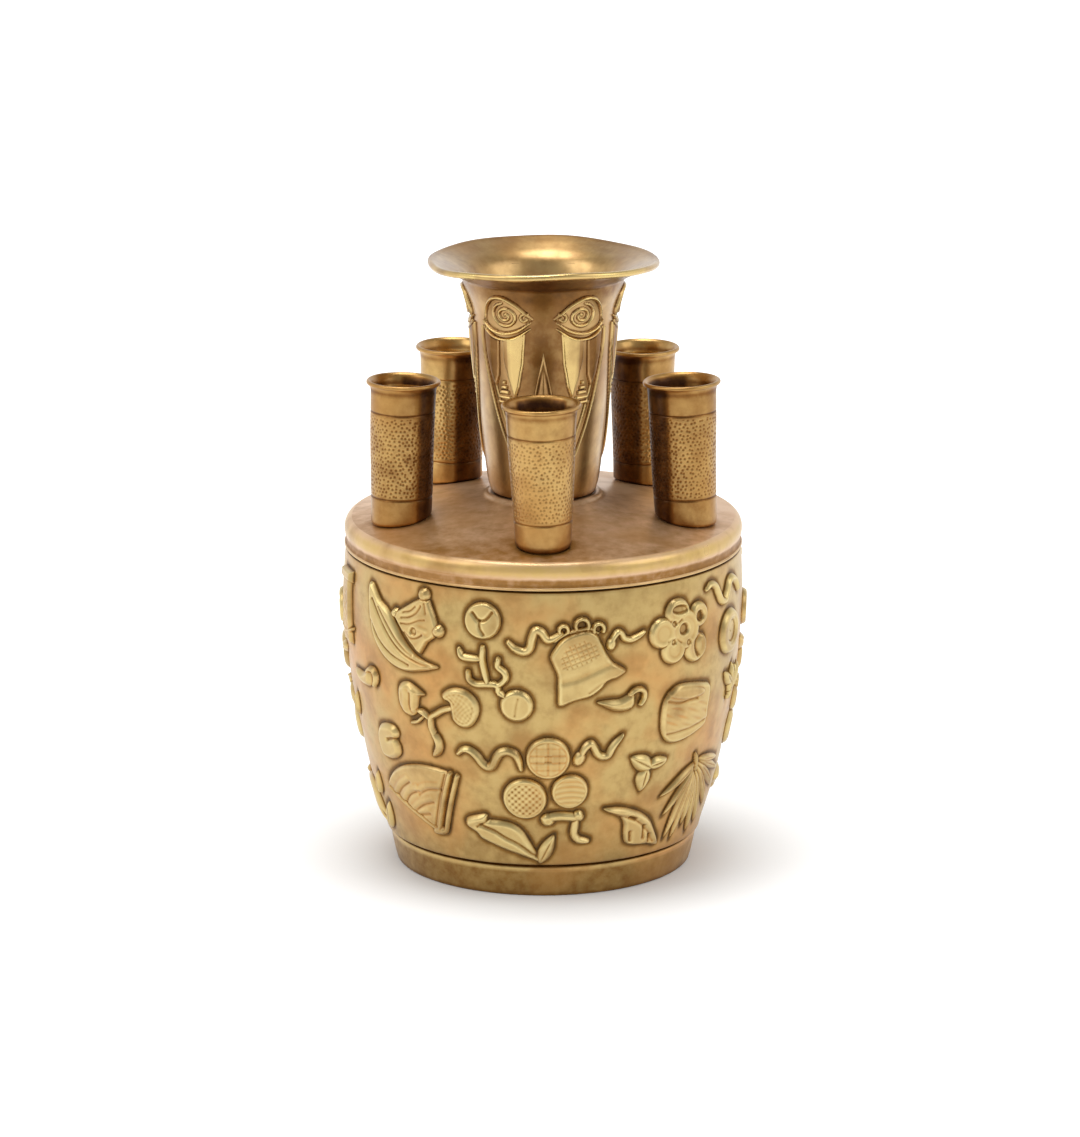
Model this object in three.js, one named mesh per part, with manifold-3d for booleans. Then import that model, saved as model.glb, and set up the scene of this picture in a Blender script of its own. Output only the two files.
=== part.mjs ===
// Six-tube brass vase: a cast barrel body, a domed shoulder plate with a rolled bead,
// a trumpet neck in the middle and five small lipped tubes round it, each soldered
// over its own hole in the shoulder. Millimetres, +Z up, origin at the centre of the
// foot's underside, front of the vase toward -Y.

import * as THREE from "three";
import { mergeVertices } from "three/addons/utils/BufferGeometryUtils.js";
import Module from "manifold-3d";

const wasm = await Module();
wasm.setup();

// Foot band and barrel wall, outer sizes
const FOOT_RADIUS = 43.5;
const FOOT_FLARE = 1.7;
const FOOT_HEIGHT = 9.4;
const FOOT_EDGE = 0.4;
const FOOT_GROOVE_HEIGHT = 0.7;
const FOOT_GROOVE_DEPTH = 0.9;
const WALL_STEP = 1;
const BELLY_RADIUS = 58.6;
const BELLY_HEIGHT = 81;
const BELLY_SWELL = 1.8;
const SHOULDER_TUCK = 0.6;
const WALL_TOP_HEIGHT = 95;
const WALL_THICKNESS = 2.2;

// Base disc let into the foot from below
const FOOT_RING_WALL = 3.2;
const BASE_RECESS = 4.5;
const BASE_THICKNESS = 1.8;
const BASE_LEDGE = 2.4;
const LEDGE_THICKNESS = 2.4;
const FLOOR_FILLET = 6;

// Shoulder plate
const SHOULDER_EDGE_RISE = 8.5;
const SHOULDER_RISE = 6.8;
const SHOULDER_CROWN = 0.9;
const SHOULDER_THICKNESS = 1.8;
const BEAD_PROUD = 0.3;
const BEAD_HALF_WIDTH = 2.4;
const BEAD_HALF_HEIGHT = 3.2;
const BEAD_TURN = [-60, 80];
const SEAM_LEDGE_INSET = 0.7;
const SEAM_LEDGE_HEIGHT = 1.6;
const SEAM_LEDGE_EDGE = 0.5;
const SKIRT_DEPTH = 5;
const SKIRT_WALL = 1.6;

// Neck: its base, then how far the outer line has swelled at heights above the seat
const NECK_BASE_RADIUS = 15.3;
const NECK_WAIST = { swell: 1.6, height: 8.4 };
const NECK_SHAFT = { swell: 5.1, height: 43.5 };
const NECK_THROAT = { swell: 6, height: 55 };
const NECK_FLARE = { swell: 8.7, height: 64 };
const MOUTH_SPREAD = 9.7;
const MOUTH_RISE = 4.9;
const NECK_WALL = 1.7;
const MOUTH_RIM = 1;
const RIM_TURN = [-60, 100];
const NECK_SPIGOT_WALL = 1.5;
const NECK_SPIGOT_STEP = 1.2;
const COLLAR_WIDTH = 2.1;
const COLLAR_RISE = 0.5;
const COLLAR_EDGE = 0.4;

// The five small tubes: sizes they share, then how each differs by hand setting
const TUBE_INSET = 14.5;
const TUBE_HEIGHT = 41.2;
const TUBE_TOP_RADIUS = 9.6;
const TUBE_FOOT_RADIUS = 8.8;
const TUBE_WALL = 1.4;
const LIP_FLARE = 1.3;
const LIP_HEIGHT = 3;
const LIP_EDGE = 0.9;
const LIP_TURN = [-50, 110];
const TUBE_FOOT_ROUND = 1.1;
const PLAIN_FOOT_BAND = 8.2;
const PLAIN_TOP_BAND = 9;
const GROOVE_WIDTH = 0.7;
const GROOVE_DEPTH = 0.35;
const TENON_RADIUS = 7.2;
const TENON_WALL = 1.1;
const TENON_REACH = 1.6;
const TUBES = [
  { name: "front", azimuth: 0, inward: 0, sideways: -0.9, top: 1.06, foot: 0.92 },
  { name: "front_right", azimuth: 72, inward: 2, sideways: 0, top: 1.04, foot: 1.02 },
  { name: "back_right", azimuth: 137, inward: 0.4, sideways: 0, top: 1, foot: 1 },
  { name: "back_left", azimuth: 218.5, inward: 0.4, sideways: 0, top: 1, foot: 1 },
  { name: "front_left", azimuth: 288, inward: 1.3, sideways: 0, top: 0.99, foot: 1 },
];

// Relief: how far it stands proud, and how deep its root goes into the metal
const EMBLEM_PROUD = 1.3;
const RELIEF_ROOT = 0.8;
const STRIP_WIDTH = 1.9;
const LAPPET_PROUD = 0.5;
const BLADE_PROUD = 1.1;
const LAPPETS = 6;
const LAPPET_TOP = 51.5;
const LAPPET_LENGTH = 35;
const LAPPET_WIDTH = 12.5;
const BLADE_LENGTH = 19;
const BLADE_WIDTH = 7;
const SPIKE_LENGTH = 15;
const SPIKE_WIDTH = 5;
const SCROLL_RISE = 3.4;
const SCROLL_WIDTH = 11;
const SCROLL_LENGTH = 9;

// Solder fillets inside the joints, and the clearance between neighbouring pieces
const SOLDER_LEG = 1.8;
const CLEARANCE = 0.3;

// Facets round each revolved piece
const BODY_FACETS = 32;
const NECK_FACETS = 24;
const TUBE_FACETS = 14;
const DISC_FACETS = 8;
const WALL_STEPS = 6;
const DOME_STEPS = 3;
const NECK_STEPS = 8;

// Sizes that follow from the ones above
const FOOT_TOP_RADIUS = FOOT_RADIUS + FOOT_FLARE;
const WALL_FOOT_RADIUS = FOOT_TOP_RADIUS + WALL_STEP;
const WALL_START = FOOT_HEIGHT + FOOT_GROOVE_HEIGHT;
const FOOT_BORE = FOOT_RADIUS - FOOT_RING_WALL;
const WALL_TOP_RADIUS = BELLY_RADIUS - SHOULDER_TUCK;
const PLATE_BOTTOM = WALL_TOP_HEIGHT + CLEARANCE;
const SHOULDER_EDGE = WALL_TOP_HEIGHT + SHOULDER_EDGE_RISE;
const DOME_RADIUS = WALL_TOP_RADIUS + BEAD_PROUD - BEAD_HALF_WIDTH;
const SHELL_TOP_BORE = WALL_TOP_RADIUS - WALL_THICKNESS;
const SKIRT_RADIUS = SHELL_TOP_BORE - CLEARANCE;
const SKIRT_BOTTOM = WALL_TOP_HEIGHT - SKIRT_DEPTH;
const TUBE_CIRCLE_RADIUS = WALL_TOP_RADIUS - TUBE_INSET;
const NECK_SEAT = SHOULDER_EDGE + SHOULDER_RISE + COLLAR_RISE + CLEARANCE;
const NECK_SPIGOT_RADIUS = NECK_BASE_RADIUS - NECK_SPIGOT_STEP;

// Outer radius of the barrel wall at height z
function wallRadius(z) {
  if (z >= BELLY_HEIGHT) {
    const t = (z - BELLY_HEIGHT) / (WALL_TOP_HEIGHT - BELLY_HEIGHT);
    return BELLY_RADIUS - (BELLY_RADIUS - WALL_TOP_RADIUS) * t * t;
  }
  const t = (BELLY_HEIGHT - z) / (BELLY_HEIGHT - WALL_START);
  return BELLY_RADIUS - (BELLY_RADIUS - WALL_FOOT_RADIUS) * t ** BELLY_SWELL;
}

// Points [r, z] up the wall's outer surface, offset by a distance
function wallLine(offset) {
  return steps(WALL_START, WALL_TOP_HEIGHT, WALL_STEPS).map((z) => [wallRadius(z) + offset, z]);
}

// Height of the shoulder's top surface at radius r
function shoulderHeight(r) {
  const t = (r - NECK_BASE_RADIUS) / (DOME_RADIUS - NECK_BASE_RADIUS);
  return SHOULDER_EDGE + SHOULDER_RISE * (1 - Math.max(t, 0) ** SHOULDER_CROWN);
}

// Evenly spaced numbers from a to b, both ends in
function steps(a, b, count) {
  return Array.from({ length: count + 1 }, (_, i) => a + ((b - a) * i) / count);
}

// Points [r, z] along an ellipse's arc, angles in degrees
function arc(r, z, halfWidth, halfHeight, turn, count) {
  return steps(turn[0], turn[1], count).map((degrees) => {
    const angle = THREE.MathUtils.degToRad(degrees);
    return [r + halfWidth * Math.cos(angle), z + halfHeight * Math.sin(angle)];
  });
}

// Smooth run of points [r, z] through a few stations
function smoothRun(stations, count) {
  const curve = new THREE.SplineCurve(stations.map(([r, z]) => new THREE.Vector2(r, z)));
  return curve.getPoints(count).map((point) => [point.x, point.y]);
}

// A closed solid from a geometry: vertices merged, empty facets left out
function toSolid(source) {
  const bare = source.index ? source.clone() : source;
  bare.deleteAttribute("normal");
  bare.deleteAttribute("uv");
  const merged = mergeVertices(bare, 1e-4);
  const index = merged.index.array;
  const faces = [];
  for (let i = 0; i < index.length; i += 3) {
    const [a, b, c] = [index[i], index[i + 1], index[i + 2]];
    if (a !== b && b !== c && c !== a) faces.push(a, b, c);
  }
  return new wasm.Manifold(new wasm.Mesh({
    numProp: 3,
    vertProperties: Float32Array.from(merged.attributes.position.array),
    triVerts: Uint32Array.from(faces),
  }));
}

function toGeometry(solid) {
  const mesh = solid.getMesh();
  const geometry = new THREE.BufferGeometry();
  geometry.setAttribute("position", new THREE.BufferAttribute(mesh.vertProperties, 3));
  geometry.setIndex(new THREE.BufferAttribute(mesh.triVerts, 1));
  geometry.computeVertexNormals();
  return geometry;
}

// Turn a profile of [r, z] points round the Z axis. It runs up the outside and down
// the inside, and closes on itself or ends on the axis.
function revolve(profile, facets) {
  const points = profile.map(([r, z]) => new THREE.Vector2(r, z));
  if (profile[0][0] > 0) points.push(points[0].clone());
  return new THREE.LatheGeometry(points, facets).rotateX(Math.PI / 2);
}

function revolvedSolid(profile, facets) {
  return toSolid(revolve(profile, facets));
}

// Triangular solder ring in the corner between an upright wall and the plate above it.
// A positive leg runs outward from the wall, a negative one inward.
function solderRing(wall, top, leg, facets) {
  const low = [wall, top - Math.abs(leg)];
  const corner = [wall, top];
  const tip = [wall + leg, top];
  return revolvedSolid(leg > 0 ? [low, tip, corner] : [low, corner, tip], facets);
}

function brass(color, roughness) {
  return new THREE.MeshStandardMaterial({ color, roughness, metalness: 1 });
}

function mesh(name, solid, material) {
  const piece = new THREE.Mesh(toGeometry(solid), material);
  piece.name = name;
  return piece;
}

// Flat drawing of a raised figure: corners [x, y] in millimetres
function plate(corners) {
  return new THREE.Shape(corners.map(([x, y]) => new THREE.Vector2(x, y)));
}

function oval(x, y, halfWidth, halfHeight = halfWidth) {
  return plate(arc(x, y, halfWidth, halfHeight, [0, 360], DISC_FACETS).slice(1));
}

// Round figure with lobes that reach out from the notches between them
function rosette(lobes, notch, reach) {
  const turns = steps(0, 2 * Math.PI, 2 * lobes).slice(1);
  return plate(turns.map((turn, i) => {
    const r = i % 2 ? notch : reach;
    return [r * Math.cos(turn), r * Math.sin(turn)];
  }));
}

// Pointed leaf from its base to its tip
function leaf(base, tip, width) {
  const start = new THREE.Vector2(...base);
  const along = new THREE.Vector2(...tip).sub(start);
  const across = new THREE.Vector2(-along.y, along.x).setLength(width / 2);
  const middle = start.clone().addScaledVector(along, 0.4);
  const sides = [middle.clone().sub(across), middle.clone().add(across)];
  return plate([base, sides[0].toArray(), tip, sides[1].toArray()]);
}

// Strip of even width along a smooth line
function strip(points, count, width = STRIP_WIDTH) {
  const line = new THREE.SplineCurve(points.map(([x, y]) => new THREE.Vector2(x, y)));
  const side = (half) => steps(0, 1, count).map((t) => {
    const middle = line.getPoint(t);
    const ahead = line.getTangent(t);
    return [middle.x - ahead.y * half, middle.y + ahead.x * half];
  });
  return plate([...side(width / 2), ...side(-width / 2).reverse()]);
}

function withHole(drawing, corners) {
  drawing.holes.push(plate(corners));
  return drawing;
}

// Figures of the cast emblems, each a list of flat drawings round its own centre
const FIGURES = {
  disc: [oval(0, 0, 5.2)],
  wide_disc: [oval(0, 0, 6.5)],
  coin: [withHole(oval(0, 0, 6.8), [[-1.4, 0], [0, -1.4], [1.4, 0], [0, 1.4]])],
  hoop: [withHole(oval(0, 0, 6.5, 7.5), [[-2.8, 0], [0, -3.4], [2.8, 0], [0, 3.4]])],
  book: [plate([[1.5, 9.4], [-9.4, 1.1], [0.8, -8.6], [8.2, -1.6]])],
  horn: [plate([[-13.8, 11], [-10.4, 12.4], [-3, 6.7], [4.9, -1.1], [15, -6.5], [7.8, -8.3],
    [-3.7, -8], [-13.1, 4]])],
  coral: [
    strip([[3.6, -5.1], [-1.4, -1.6], [-1.4, 6.6]], 3),
    strip([[-8.5, 5.6], [-6, 3.6], [3.2, 2]], 3),
  ],
  fungus: [
    oval(-7.6, 3.4, 4.6, 5.7),
    oval(11, 3.4, 5),
    strip([[-4, 2.2], [0.3, 0.2], [7, 3]], 3),
    strip([[0.3, 0.4], [1.5, -6.6], [-0.8, -13]], 2),
  ],
  bean: [plate([[4.6, 6.4], [6.6, 3.4], [2.4, -1.2], [0.4, -5.2], [-4.6, -6.4], [-6.4, -3.2], [-1.6, 2.6]])],
  fan: [plate([[0, -1.6], [8, 19.4], [-2.5, 21.3], [-12, 17.8], [-19.9, 10.3], [-1.6, -1]])],
  ribbon_left: [strip([[-9.3, 1.1], [-5.9, 2.6], [0, -2.8], [4.5, 2.9], [7.5, 3.1], [9.2, -1.4]], 6)],
  ribbon_right: [strip([[-6.6, -3.5], [-3.4, 2.9], [1.2, -2.4], [4.2, 2.2], [6.9, 4.4]], 5)],
  tail: [strip([[-6.6, 2.6], [2.6, 2.8], [7.4, -5]], 3, 2.4)],
  pod: [plate([[-11.4, 4.5], [-8, 6.8], [2, 5.8], [8, 0.9], [10.4, -6.2], [2.6, -3.6], [-4.9, 0.2]])],
  leaf: [leaf([-1.2, -4], [1.2, 4], 3.6)],
  bag: [plate([[-11.6, 2], [-5.5, 8.4], [2.4, 11.4], [7.4, 1.6], [12.3, -3], [2, -7.4], [-7.8, -12.8],
    [-8.2, -4]])],
  cord: [strip([[-6.8, -0.4], [-1.9, -3.2], [0.8, 3.2], [6.4, 1.6]], 4)],
  comma: [plate([[-7, 0.4], [5.1, 3.3], [8, 0.8], [5.2, -2], [-1.6, -2.9]])],
  blossom: [rosette(5, 7.2, 11)],
  drum: [plate([[0, 9.2], [8.2, 7.2], [10.3, 0], [8.2, -7.2], [0, -9.2], [-8.2, -7.2], [-10.3, 0],
    [-8.2, 7.2]])],
  shell: [plate([[-10.3, 7.8], [-1.1, 6.8], [6.2, 2.3], [10.6, -6.4], [6.9, -6.6], [1.4, 0.2], [-8.6, 4.4]])],
  trefoil: [
    leaf([0.8, -1], [-4.8, 4.6], 4.6),
    leaf([-0.6, -0.2], [6.4, 2.4], 4.6),
    leaf([0, 1.4], [-1.2, -6.2], 4.8),
  ],
  bamboo: [
    leaf([1, 5], [-11, -3], 5),
    leaf([0, 6], [-3, -14], 5.4),
    leaf([-1, 5], [8, -11], 5),
    leaf([-2, 4], [12, 3], 4.6),
  ],
  sprig: [leaf([-3, -6], [-1, 4], 4), leaf([-4, -6], [5, 3], 4)],
  scroll_case: [plate([[-3.6, -11], [3.6, -11], [3.6, 8], [5, 8], [5, 11], [-5, 11], [-5, 8], [-3.6, 8]])],
  gourd: [oval(0, -4.4, 5.6), oval(0.4, 4, 4)],
};

// One half of the wall's emblems: figure, azimuth in degrees, height of its centre
const HALF_WALL = [
  ["scroll_case", -75, 80], ["horn", -46, 77], ["book", -38, 83], ["disc", -17.2, 86.2],
  ["cord", -3, 80.5], ["bag", 12.5, 74], ["blossom", 43.2, 80.1],
  ["hoop", 69, 73], ["disc", 89, 76], ["comma", -64, 61.6], ["fungus", -35, 56], ["coral", -16, 71],
  ["disc", -7.7, 60.6], ["comma", 23, 61.5], ["drum", 47.8, 54.5], ["sprig", 67, 57], ["gourd", 88, 48],
  ["leaf", -76, 50], ["bean", -55, 43.4], ["ribbon_left", -17, 44], ["coin", 1.4, 45.1],
  ["ribbon_right", 17, 46.5], ["trefoil", 33.9, 38.7], ["fan", -37.6, 18.7], ["wide_disc", -5.8, 31.6],
  ["disc", 8.2, 33.2], ["tail", 7, 23], ["pod", -14, 18.5], ["shell", 32, 20], ["bamboo", 53, 28],
  ["pod", 82, 20], ["leaf", -70, 27],
];

// A raised figure as a bar that runs out from the axis, to be trimmed to the surface
function bar(drawing, azimuth, height, near, far) {
  const drawn = new THREE.ExtrudeGeometry(drawing, { depth: far - near, bevelEnabled: false });
  drawn.rotateX(Math.PI / 2).translate(0, -near, height);
  return toSolid(drawn.rotateZ(THREE.MathUtils.degToRad(azimuth)));
}

// Everything between two offsets of an outer line of [r, z] points
function sleeve(line, root, proud, facets) {
  return revolvedSolid([...line(proud), ...line(-root).reverse()], facets);
}

// All the emblems, trimmed to stand on the wall with their roots in its metal
function emblems() {
  const near = WALL_FOOT_RADIUS / 2;
  const far = BELLY_RADIUS + 2 * FOOT_RADIUS;
  const bars = [];
  for (const half of [0, 180]) {
    for (const [figure, azimuth, height] of HALF_WALL) {
      for (const drawing of FIGURES[figure]) {
        bars.push(bar(drawing, azimuth + half, height, near, far));
      }
    }
  }
  return wasm.Manifold.union(bars).intersect(sleeve(wallLine, RELIEF_ROOT, EMBLEM_PROUD, BODY_FACETS));
}

// Scroll heads over hanging leaves, each leaf with a raised blade, and a spike between
function neckLeaves() {
  const far = NECK_BASE_RADIUS + NECK_FLARE.swell + MOUTH_SPREAD;
  const near = NECK_BASE_RADIUS / 2;
  const tip = (width, base, height) => plate([[-width / 2, base], [width / 2, base], [0, base + height]]);
  const lappet = tip(LAPPET_WIDTH, 0, -LAPPET_LENGTH);
  const blade = tip(BLADE_WIDTH, 0, -BLADE_LENGTH);
  const spike = tip(SPIKE_WIDTH, -LAPPET_LENGTH, SPIKE_LENGTH);
  const scroll = oval(0, SCROLL_RISE, SCROLL_WIDTH / 2, SCROLL_LENGTH / 2);
  const top = NECK_SEAT + LAPPET_TOP;
  const low = [];
  const high = [];
  for (const azimuth of steps(0, 360, LAPPETS).slice(1)) {
    const between = azimuth - 180 / LAPPETS;
    low.push(bar(lappet, between, top, near, far), bar(spike, azimuth, top, near, far));
    high.push(bar(blade, between, top, near, far), bar(scroll, between, top, near, far));
  }
  const line = (offset) => neckLine(NECK_STEPS, offset);
  const lowSkin = sleeve(line, RELIEF_ROOT, LAPPET_PROUD, NECK_FACETS);
  const highSkin = sleeve(line, RELIEF_ROOT, BLADE_PROUD, NECK_FACETS);
  return wasm.Manifold.union(low).intersect(lowSkin).add(wasm.Manifold.union(high).intersect(highSkin));
}

// Barrel body with its plain foot band, open at both ends, emblems cast on the wall
function bodyShell() {
  const ledgeRadius = FOOT_BORE - BASE_LEDGE;
  const innerHeights = steps(WALL_TOP_HEIGHT, WALL_START + FLOOR_FILLET, 4);
  const grooveRadius = FOOT_TOP_RADIUS - FOOT_GROOVE_DEPTH;
  const profile = [
    [FOOT_RADIUS, 0],
    [FOOT_TOP_RADIUS, FOOT_HEIGHT - FOOT_EDGE],
    [FOOT_TOP_RADIUS - FOOT_EDGE / 2, FOOT_HEIGHT],
    [grooveRadius, FOOT_HEIGHT],
    [grooveRadius, WALL_START],
    ...wallLine(0),
    ...innerHeights.map((z) => [wallRadius(z) - WALL_THICKNESS, z]),
    [ledgeRadius, BASE_RECESS + LEDGE_THICKNESS],
    [ledgeRadius, BASE_RECESS],
    [FOOT_BORE, BASE_RECESS],
    [FOOT_BORE, 0],
  ];
  return revolvedSolid(profile, BODY_FACETS).add(emblems());
}

// Base disc, pushed up into the foot until it meets the ledge
function basePlate() {
  const top = BASE_RECESS - CLEARANCE;
  const radius = FOOT_BORE - CLEARANCE;
  const profile = [[0, top - BASE_THICKNESS], [radius, top - BASE_THICKNESS], [radius, top], [0, top]];
  return revolvedSolid(profile, BODY_FACETS);
}

function baseSolder() {
  const top = BASE_RECESS - 2 * CLEARANCE - BASE_THICKNESS;
  return solderRing(FOOT_BORE - CLEARANCE, top, -SOLDER_LEG, BODY_FACETS);
}

// Shoulder plate: dome, rolled bead, thin ledge over the wall's top edge and a skirt
// that drops inside the barrel
function shoulderPlate() {
  const domeRadii = steps(DOME_RADIUS, NECK_BASE_RADIUS, DOME_STEPS);
  const skirtBore = SKIRT_RADIUS - SKIRT_WALL;
  const ledgeTop = PLATE_BOTTOM + SEAM_LEDGE_HEIGHT;
  const beadCentre = SHOULDER_EDGE - BEAD_HALF_HEIGHT;
  const underside = steps(NECK_BASE_RADIUS, skirtBore, 3);
  const hole = NECK_SPIGOT_RADIUS + CLEARANCE;
  const collarTop = NECK_SEAT - CLEARANCE;
  const collarRadius = NECK_BASE_RADIUS + COLLAR_WIDTH;
  const profile = [
    [SKIRT_RADIUS, SKIRT_BOTTOM],
    [SKIRT_RADIUS, PLATE_BOTTOM],
    [WALL_TOP_RADIUS, PLATE_BOTTOM],
    [WALL_TOP_RADIUS, ledgeTop - SEAM_LEDGE_EDGE],
    [WALL_TOP_RADIUS - SEAM_LEDGE_INSET, ledgeTop],
    ...arc(DOME_RADIUS, beadCentre, BEAD_HALF_WIDTH, BEAD_HALF_HEIGHT, BEAD_TURN, 4),
    ...domeRadii.slice(0, -1).map((r) => [r, shoulderHeight(r)]),
    [collarRadius, shoulderHeight(collarRadius)],
    [collarRadius - COLLAR_EDGE, collarTop],
    [hole, collarTop],
    [hole, shoulderHeight(hole) - SHOULDER_THICKNESS],
    ...underside.slice(1).map((r) => [r, shoulderHeight(r) - SHOULDER_THICKNESS]),
    [skirtBore, SKIRT_BOTTOM],
  ];
  let plate = revolvedSolid(profile, BODY_FACETS);
  for (const tube of TUBES) {
    const drill = new THREE.CylinderGeometry(
      TENON_RADIUS + CLEARANCE, TENON_RADIUS + CLEARANCE, 4 * SHOULDER_RISE, TUBE_FACETS);
    drill.rotateX(Math.PI / 2).applyMatrix4(tubePlace(tube));
    plate = plate.subtract(toSolid(drill));
  }
  return plate;
}

function shoulderSolder() {
  return solderRing(SHELL_TOP_BORE - CLEARANCE, SKIRT_BOTTOM - CLEARANCE, -SOLDER_LEG, BODY_FACETS);
}

// Points [r, z] up the neck's outer line, in a number of steps and offset by a distance
function neckLine(count, offset) {
  const stations = [[NECK_BASE_RADIUS, NECK_SEAT]];
  for (const { swell, height } of [NECK_WAIST, NECK_SHAFT, NECK_THROAT, NECK_FLARE]) {
    stations.push([NECK_BASE_RADIUS + swell, NECK_SEAT + height]);
  }
  return smoothRun(stations, count).map(([r, z]) => [r + offset, z]);
}

// Trumpet neck with its dished mouth, a spigot through the shoulder plate and the
// collar of hanging leaves in relief
function neck() {
  const rimRadius = NECK_BASE_RADIUS + NECK_FLARE.swell + MOUTH_SPREAD - MOUTH_RIM / 2;
  const rimHeight = NECK_SEAT + NECK_FLARE.height + MOUTH_RISE - MOUTH_RIM / 2;
  const underPlate = shoulderHeight(NECK_SPIGOT_RADIUS) - SHOULDER_THICKNESS;
  const spigotBottom = underPlate - SOLDER_LEG - CLEARANCE;
  const spigotBore = NECK_SPIGOT_RADIUS - NECK_SPIGOT_WALL;
  const profile = [
    [NECK_SPIGOT_RADIUS, spigotBottom],
    [NECK_SPIGOT_RADIUS, NECK_SEAT],
    ...neckLine(NECK_STEPS, 0),
    ...arc(rimRadius, rimHeight, MOUTH_RIM / 2, MOUTH_RIM / 2, RIM_TURN, 3),
    ...neckLine(NECK_STEPS / 2, -NECK_WALL).slice(1).reverse(),
    [spigotBore, NECK_SEAT],
    [spigotBore, spigotBottom],
  ];
  return revolvedSolid(profile, NECK_FACETS).add(neckLeaves());
}

function neckSolder() {
  const wall = NECK_SPIGOT_RADIUS + CLEARANCE;
  const top = shoulderHeight(wall + SOLDER_LEG) - SHOULDER_THICKNESS - CLEARANCE;
  return solderRing(wall, top, SOLDER_LEG, NECK_FACETS);
}

// Where a tube stands: foot centre on the shoulder, turned to its azimuth and leaned
function tubePlace(tube) {
  const seat = shoulderHeight(TUBE_CIRCLE_RADIUS) + CLEARANCE;
  const turn = new THREE.Matrix4().makeRotationZ(THREE.MathUtils.degToRad(tube.azimuth));
  const shift = new THREE.Matrix4().makeTranslation(0, -TUBE_CIRCLE_RADIUS, seat);
  const inward = new THREE.Matrix4().makeRotationX(THREE.MathUtils.degToRad(-tube.inward));
  const sideways = new THREE.Matrix4().makeRotationY(THREE.MathUtils.degToRad(tube.sideways));
  return turn.multiply(shift).multiply(inward).multiply(sideways);
}

// All the space under the shoulder's top surface, with that surface raised by lift,
// as seen from a tube's own frame
function underShoulder(tube, lift) {
  const radii = steps(DOME_RADIUS, NECK_BASE_RADIUS, DOME_STEPS);
  const profile = [
    [0, WALL_TOP_HEIGHT],
    [2 * DOME_RADIUS, WALL_TOP_HEIGHT],
    [2 * DOME_RADIUS, SHOULDER_EDGE + lift],
    ...radii.map((r) => [r, shoulderHeight(r) + lift]),
    [0, shoulderHeight(NECK_BASE_RADIUS) + lift],
  ];
  return toSolid(revolve(profile, BODY_FACETS).applyMatrix4(tubePlace(tube).invert()));
}

// One lipped tube in its own frame: foot cut to the dome, tenon below, bore right through
function lippedTube(tube) {
  const topRadius = tube.top * TUBE_TOP_RADIUS;
  const footRadius = tube.foot * TUBE_FOOT_RADIUS;
  const lipBase = TUBE_HEIGHT - LIP_HEIGHT;
  const bodyRadius = (z) => footRadius + ((topRadius - footRadius) * z) / lipBase;
  const groove = (z) => [
    [bodyRadius(z), z - GROOVE_WIDTH / 2],
    [bodyRadius(z) - GROOVE_DEPTH, z],
    [bodyRadius(z), z + GROOVE_WIDTH / 2],
  ];
  const half = LIP_EDGE / 2;
  const lipRadius = topRadius + LIP_FLARE;
  const outside = revolvedSolid([
    [0, -SHOULDER_RISE / 2],
    [footRadius - TUBE_FOOT_ROUND, -SHOULDER_RISE / 2],
    [footRadius - TUBE_FOOT_ROUND, 0],
    [footRadius, TUBE_FOOT_ROUND],
    ...groove(PLAIN_FOOT_BAND),
    ...groove(TUBE_HEIGHT - PLAIN_TOP_BAND),
    [topRadius, lipBase],
    [topRadius + LIP_FLARE / 3, lipBase + LIP_HEIGHT / 2],
    ...arc(lipRadius - half, TUBE_HEIGHT - half, half, half, LIP_TURN, 3),
    [0, TUBE_HEIGHT],
  ], TUBE_FACETS);
  const below = -SHOULDER_THICKNESS - SOLDER_LEG - TENON_REACH;
  const tenon = revolvedSolid([
    [0, below],
    [TENON_RADIUS, below],
    [TENON_RADIUS, PLAIN_FOOT_BAND / 2],
    [0, PLAIN_FOOT_BAND / 2],
  ], TUBE_FACETS);
  const bore = topRadius - TUBE_WALL;
  const tenonBore = TENON_RADIUS - TENON_WALL;
  const bored = revolvedSolid([
    [0, below - 1],
    [tenonBore, below - 1],
    [tenonBore, TUBE_FOOT_ROUND + 1],
    [Math.min(bore, footRadius - TUBE_WALL), PLAIN_FOOT_BAND],
    [bore, lipBase],
    [bore + LIP_FLARE / 2, lipBase + LIP_HEIGHT / 2],
    [lipRadius - LIP_EDGE, TUBE_HEIGHT],
    [lipRadius - LIP_EDGE, TUBE_HEIGHT + 1],
    [0, TUBE_HEIGHT + 1],
  ], TUBE_FACETS);
  return outside.subtract(underShoulder(tube, CLEARANCE)).add(tenon).subtract(bored);
}

// Solder ring round a tube's tenon, lying along the plate's sloping underside
function tubeSolder(tube) {
  const wall = TENON_RADIUS + CLEARANCE;
  const reach = SHOULDER_RISE + SOLDER_LEG;
  const sleeve = revolvedSolid([
    [wall, -reach],
    [wall + SOLDER_LEG, -reach],
    [wall + SOLDER_LEG, reach],
    [wall, reach],
  ], TUBE_FACETS);
  const top = -SHOULDER_THICKNESS - CLEARANCE;
  return sleeve.intersect(underShoulder(tube, top)).subtract(underShoulder(tube, top - SOLDER_LEG));
}

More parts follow.
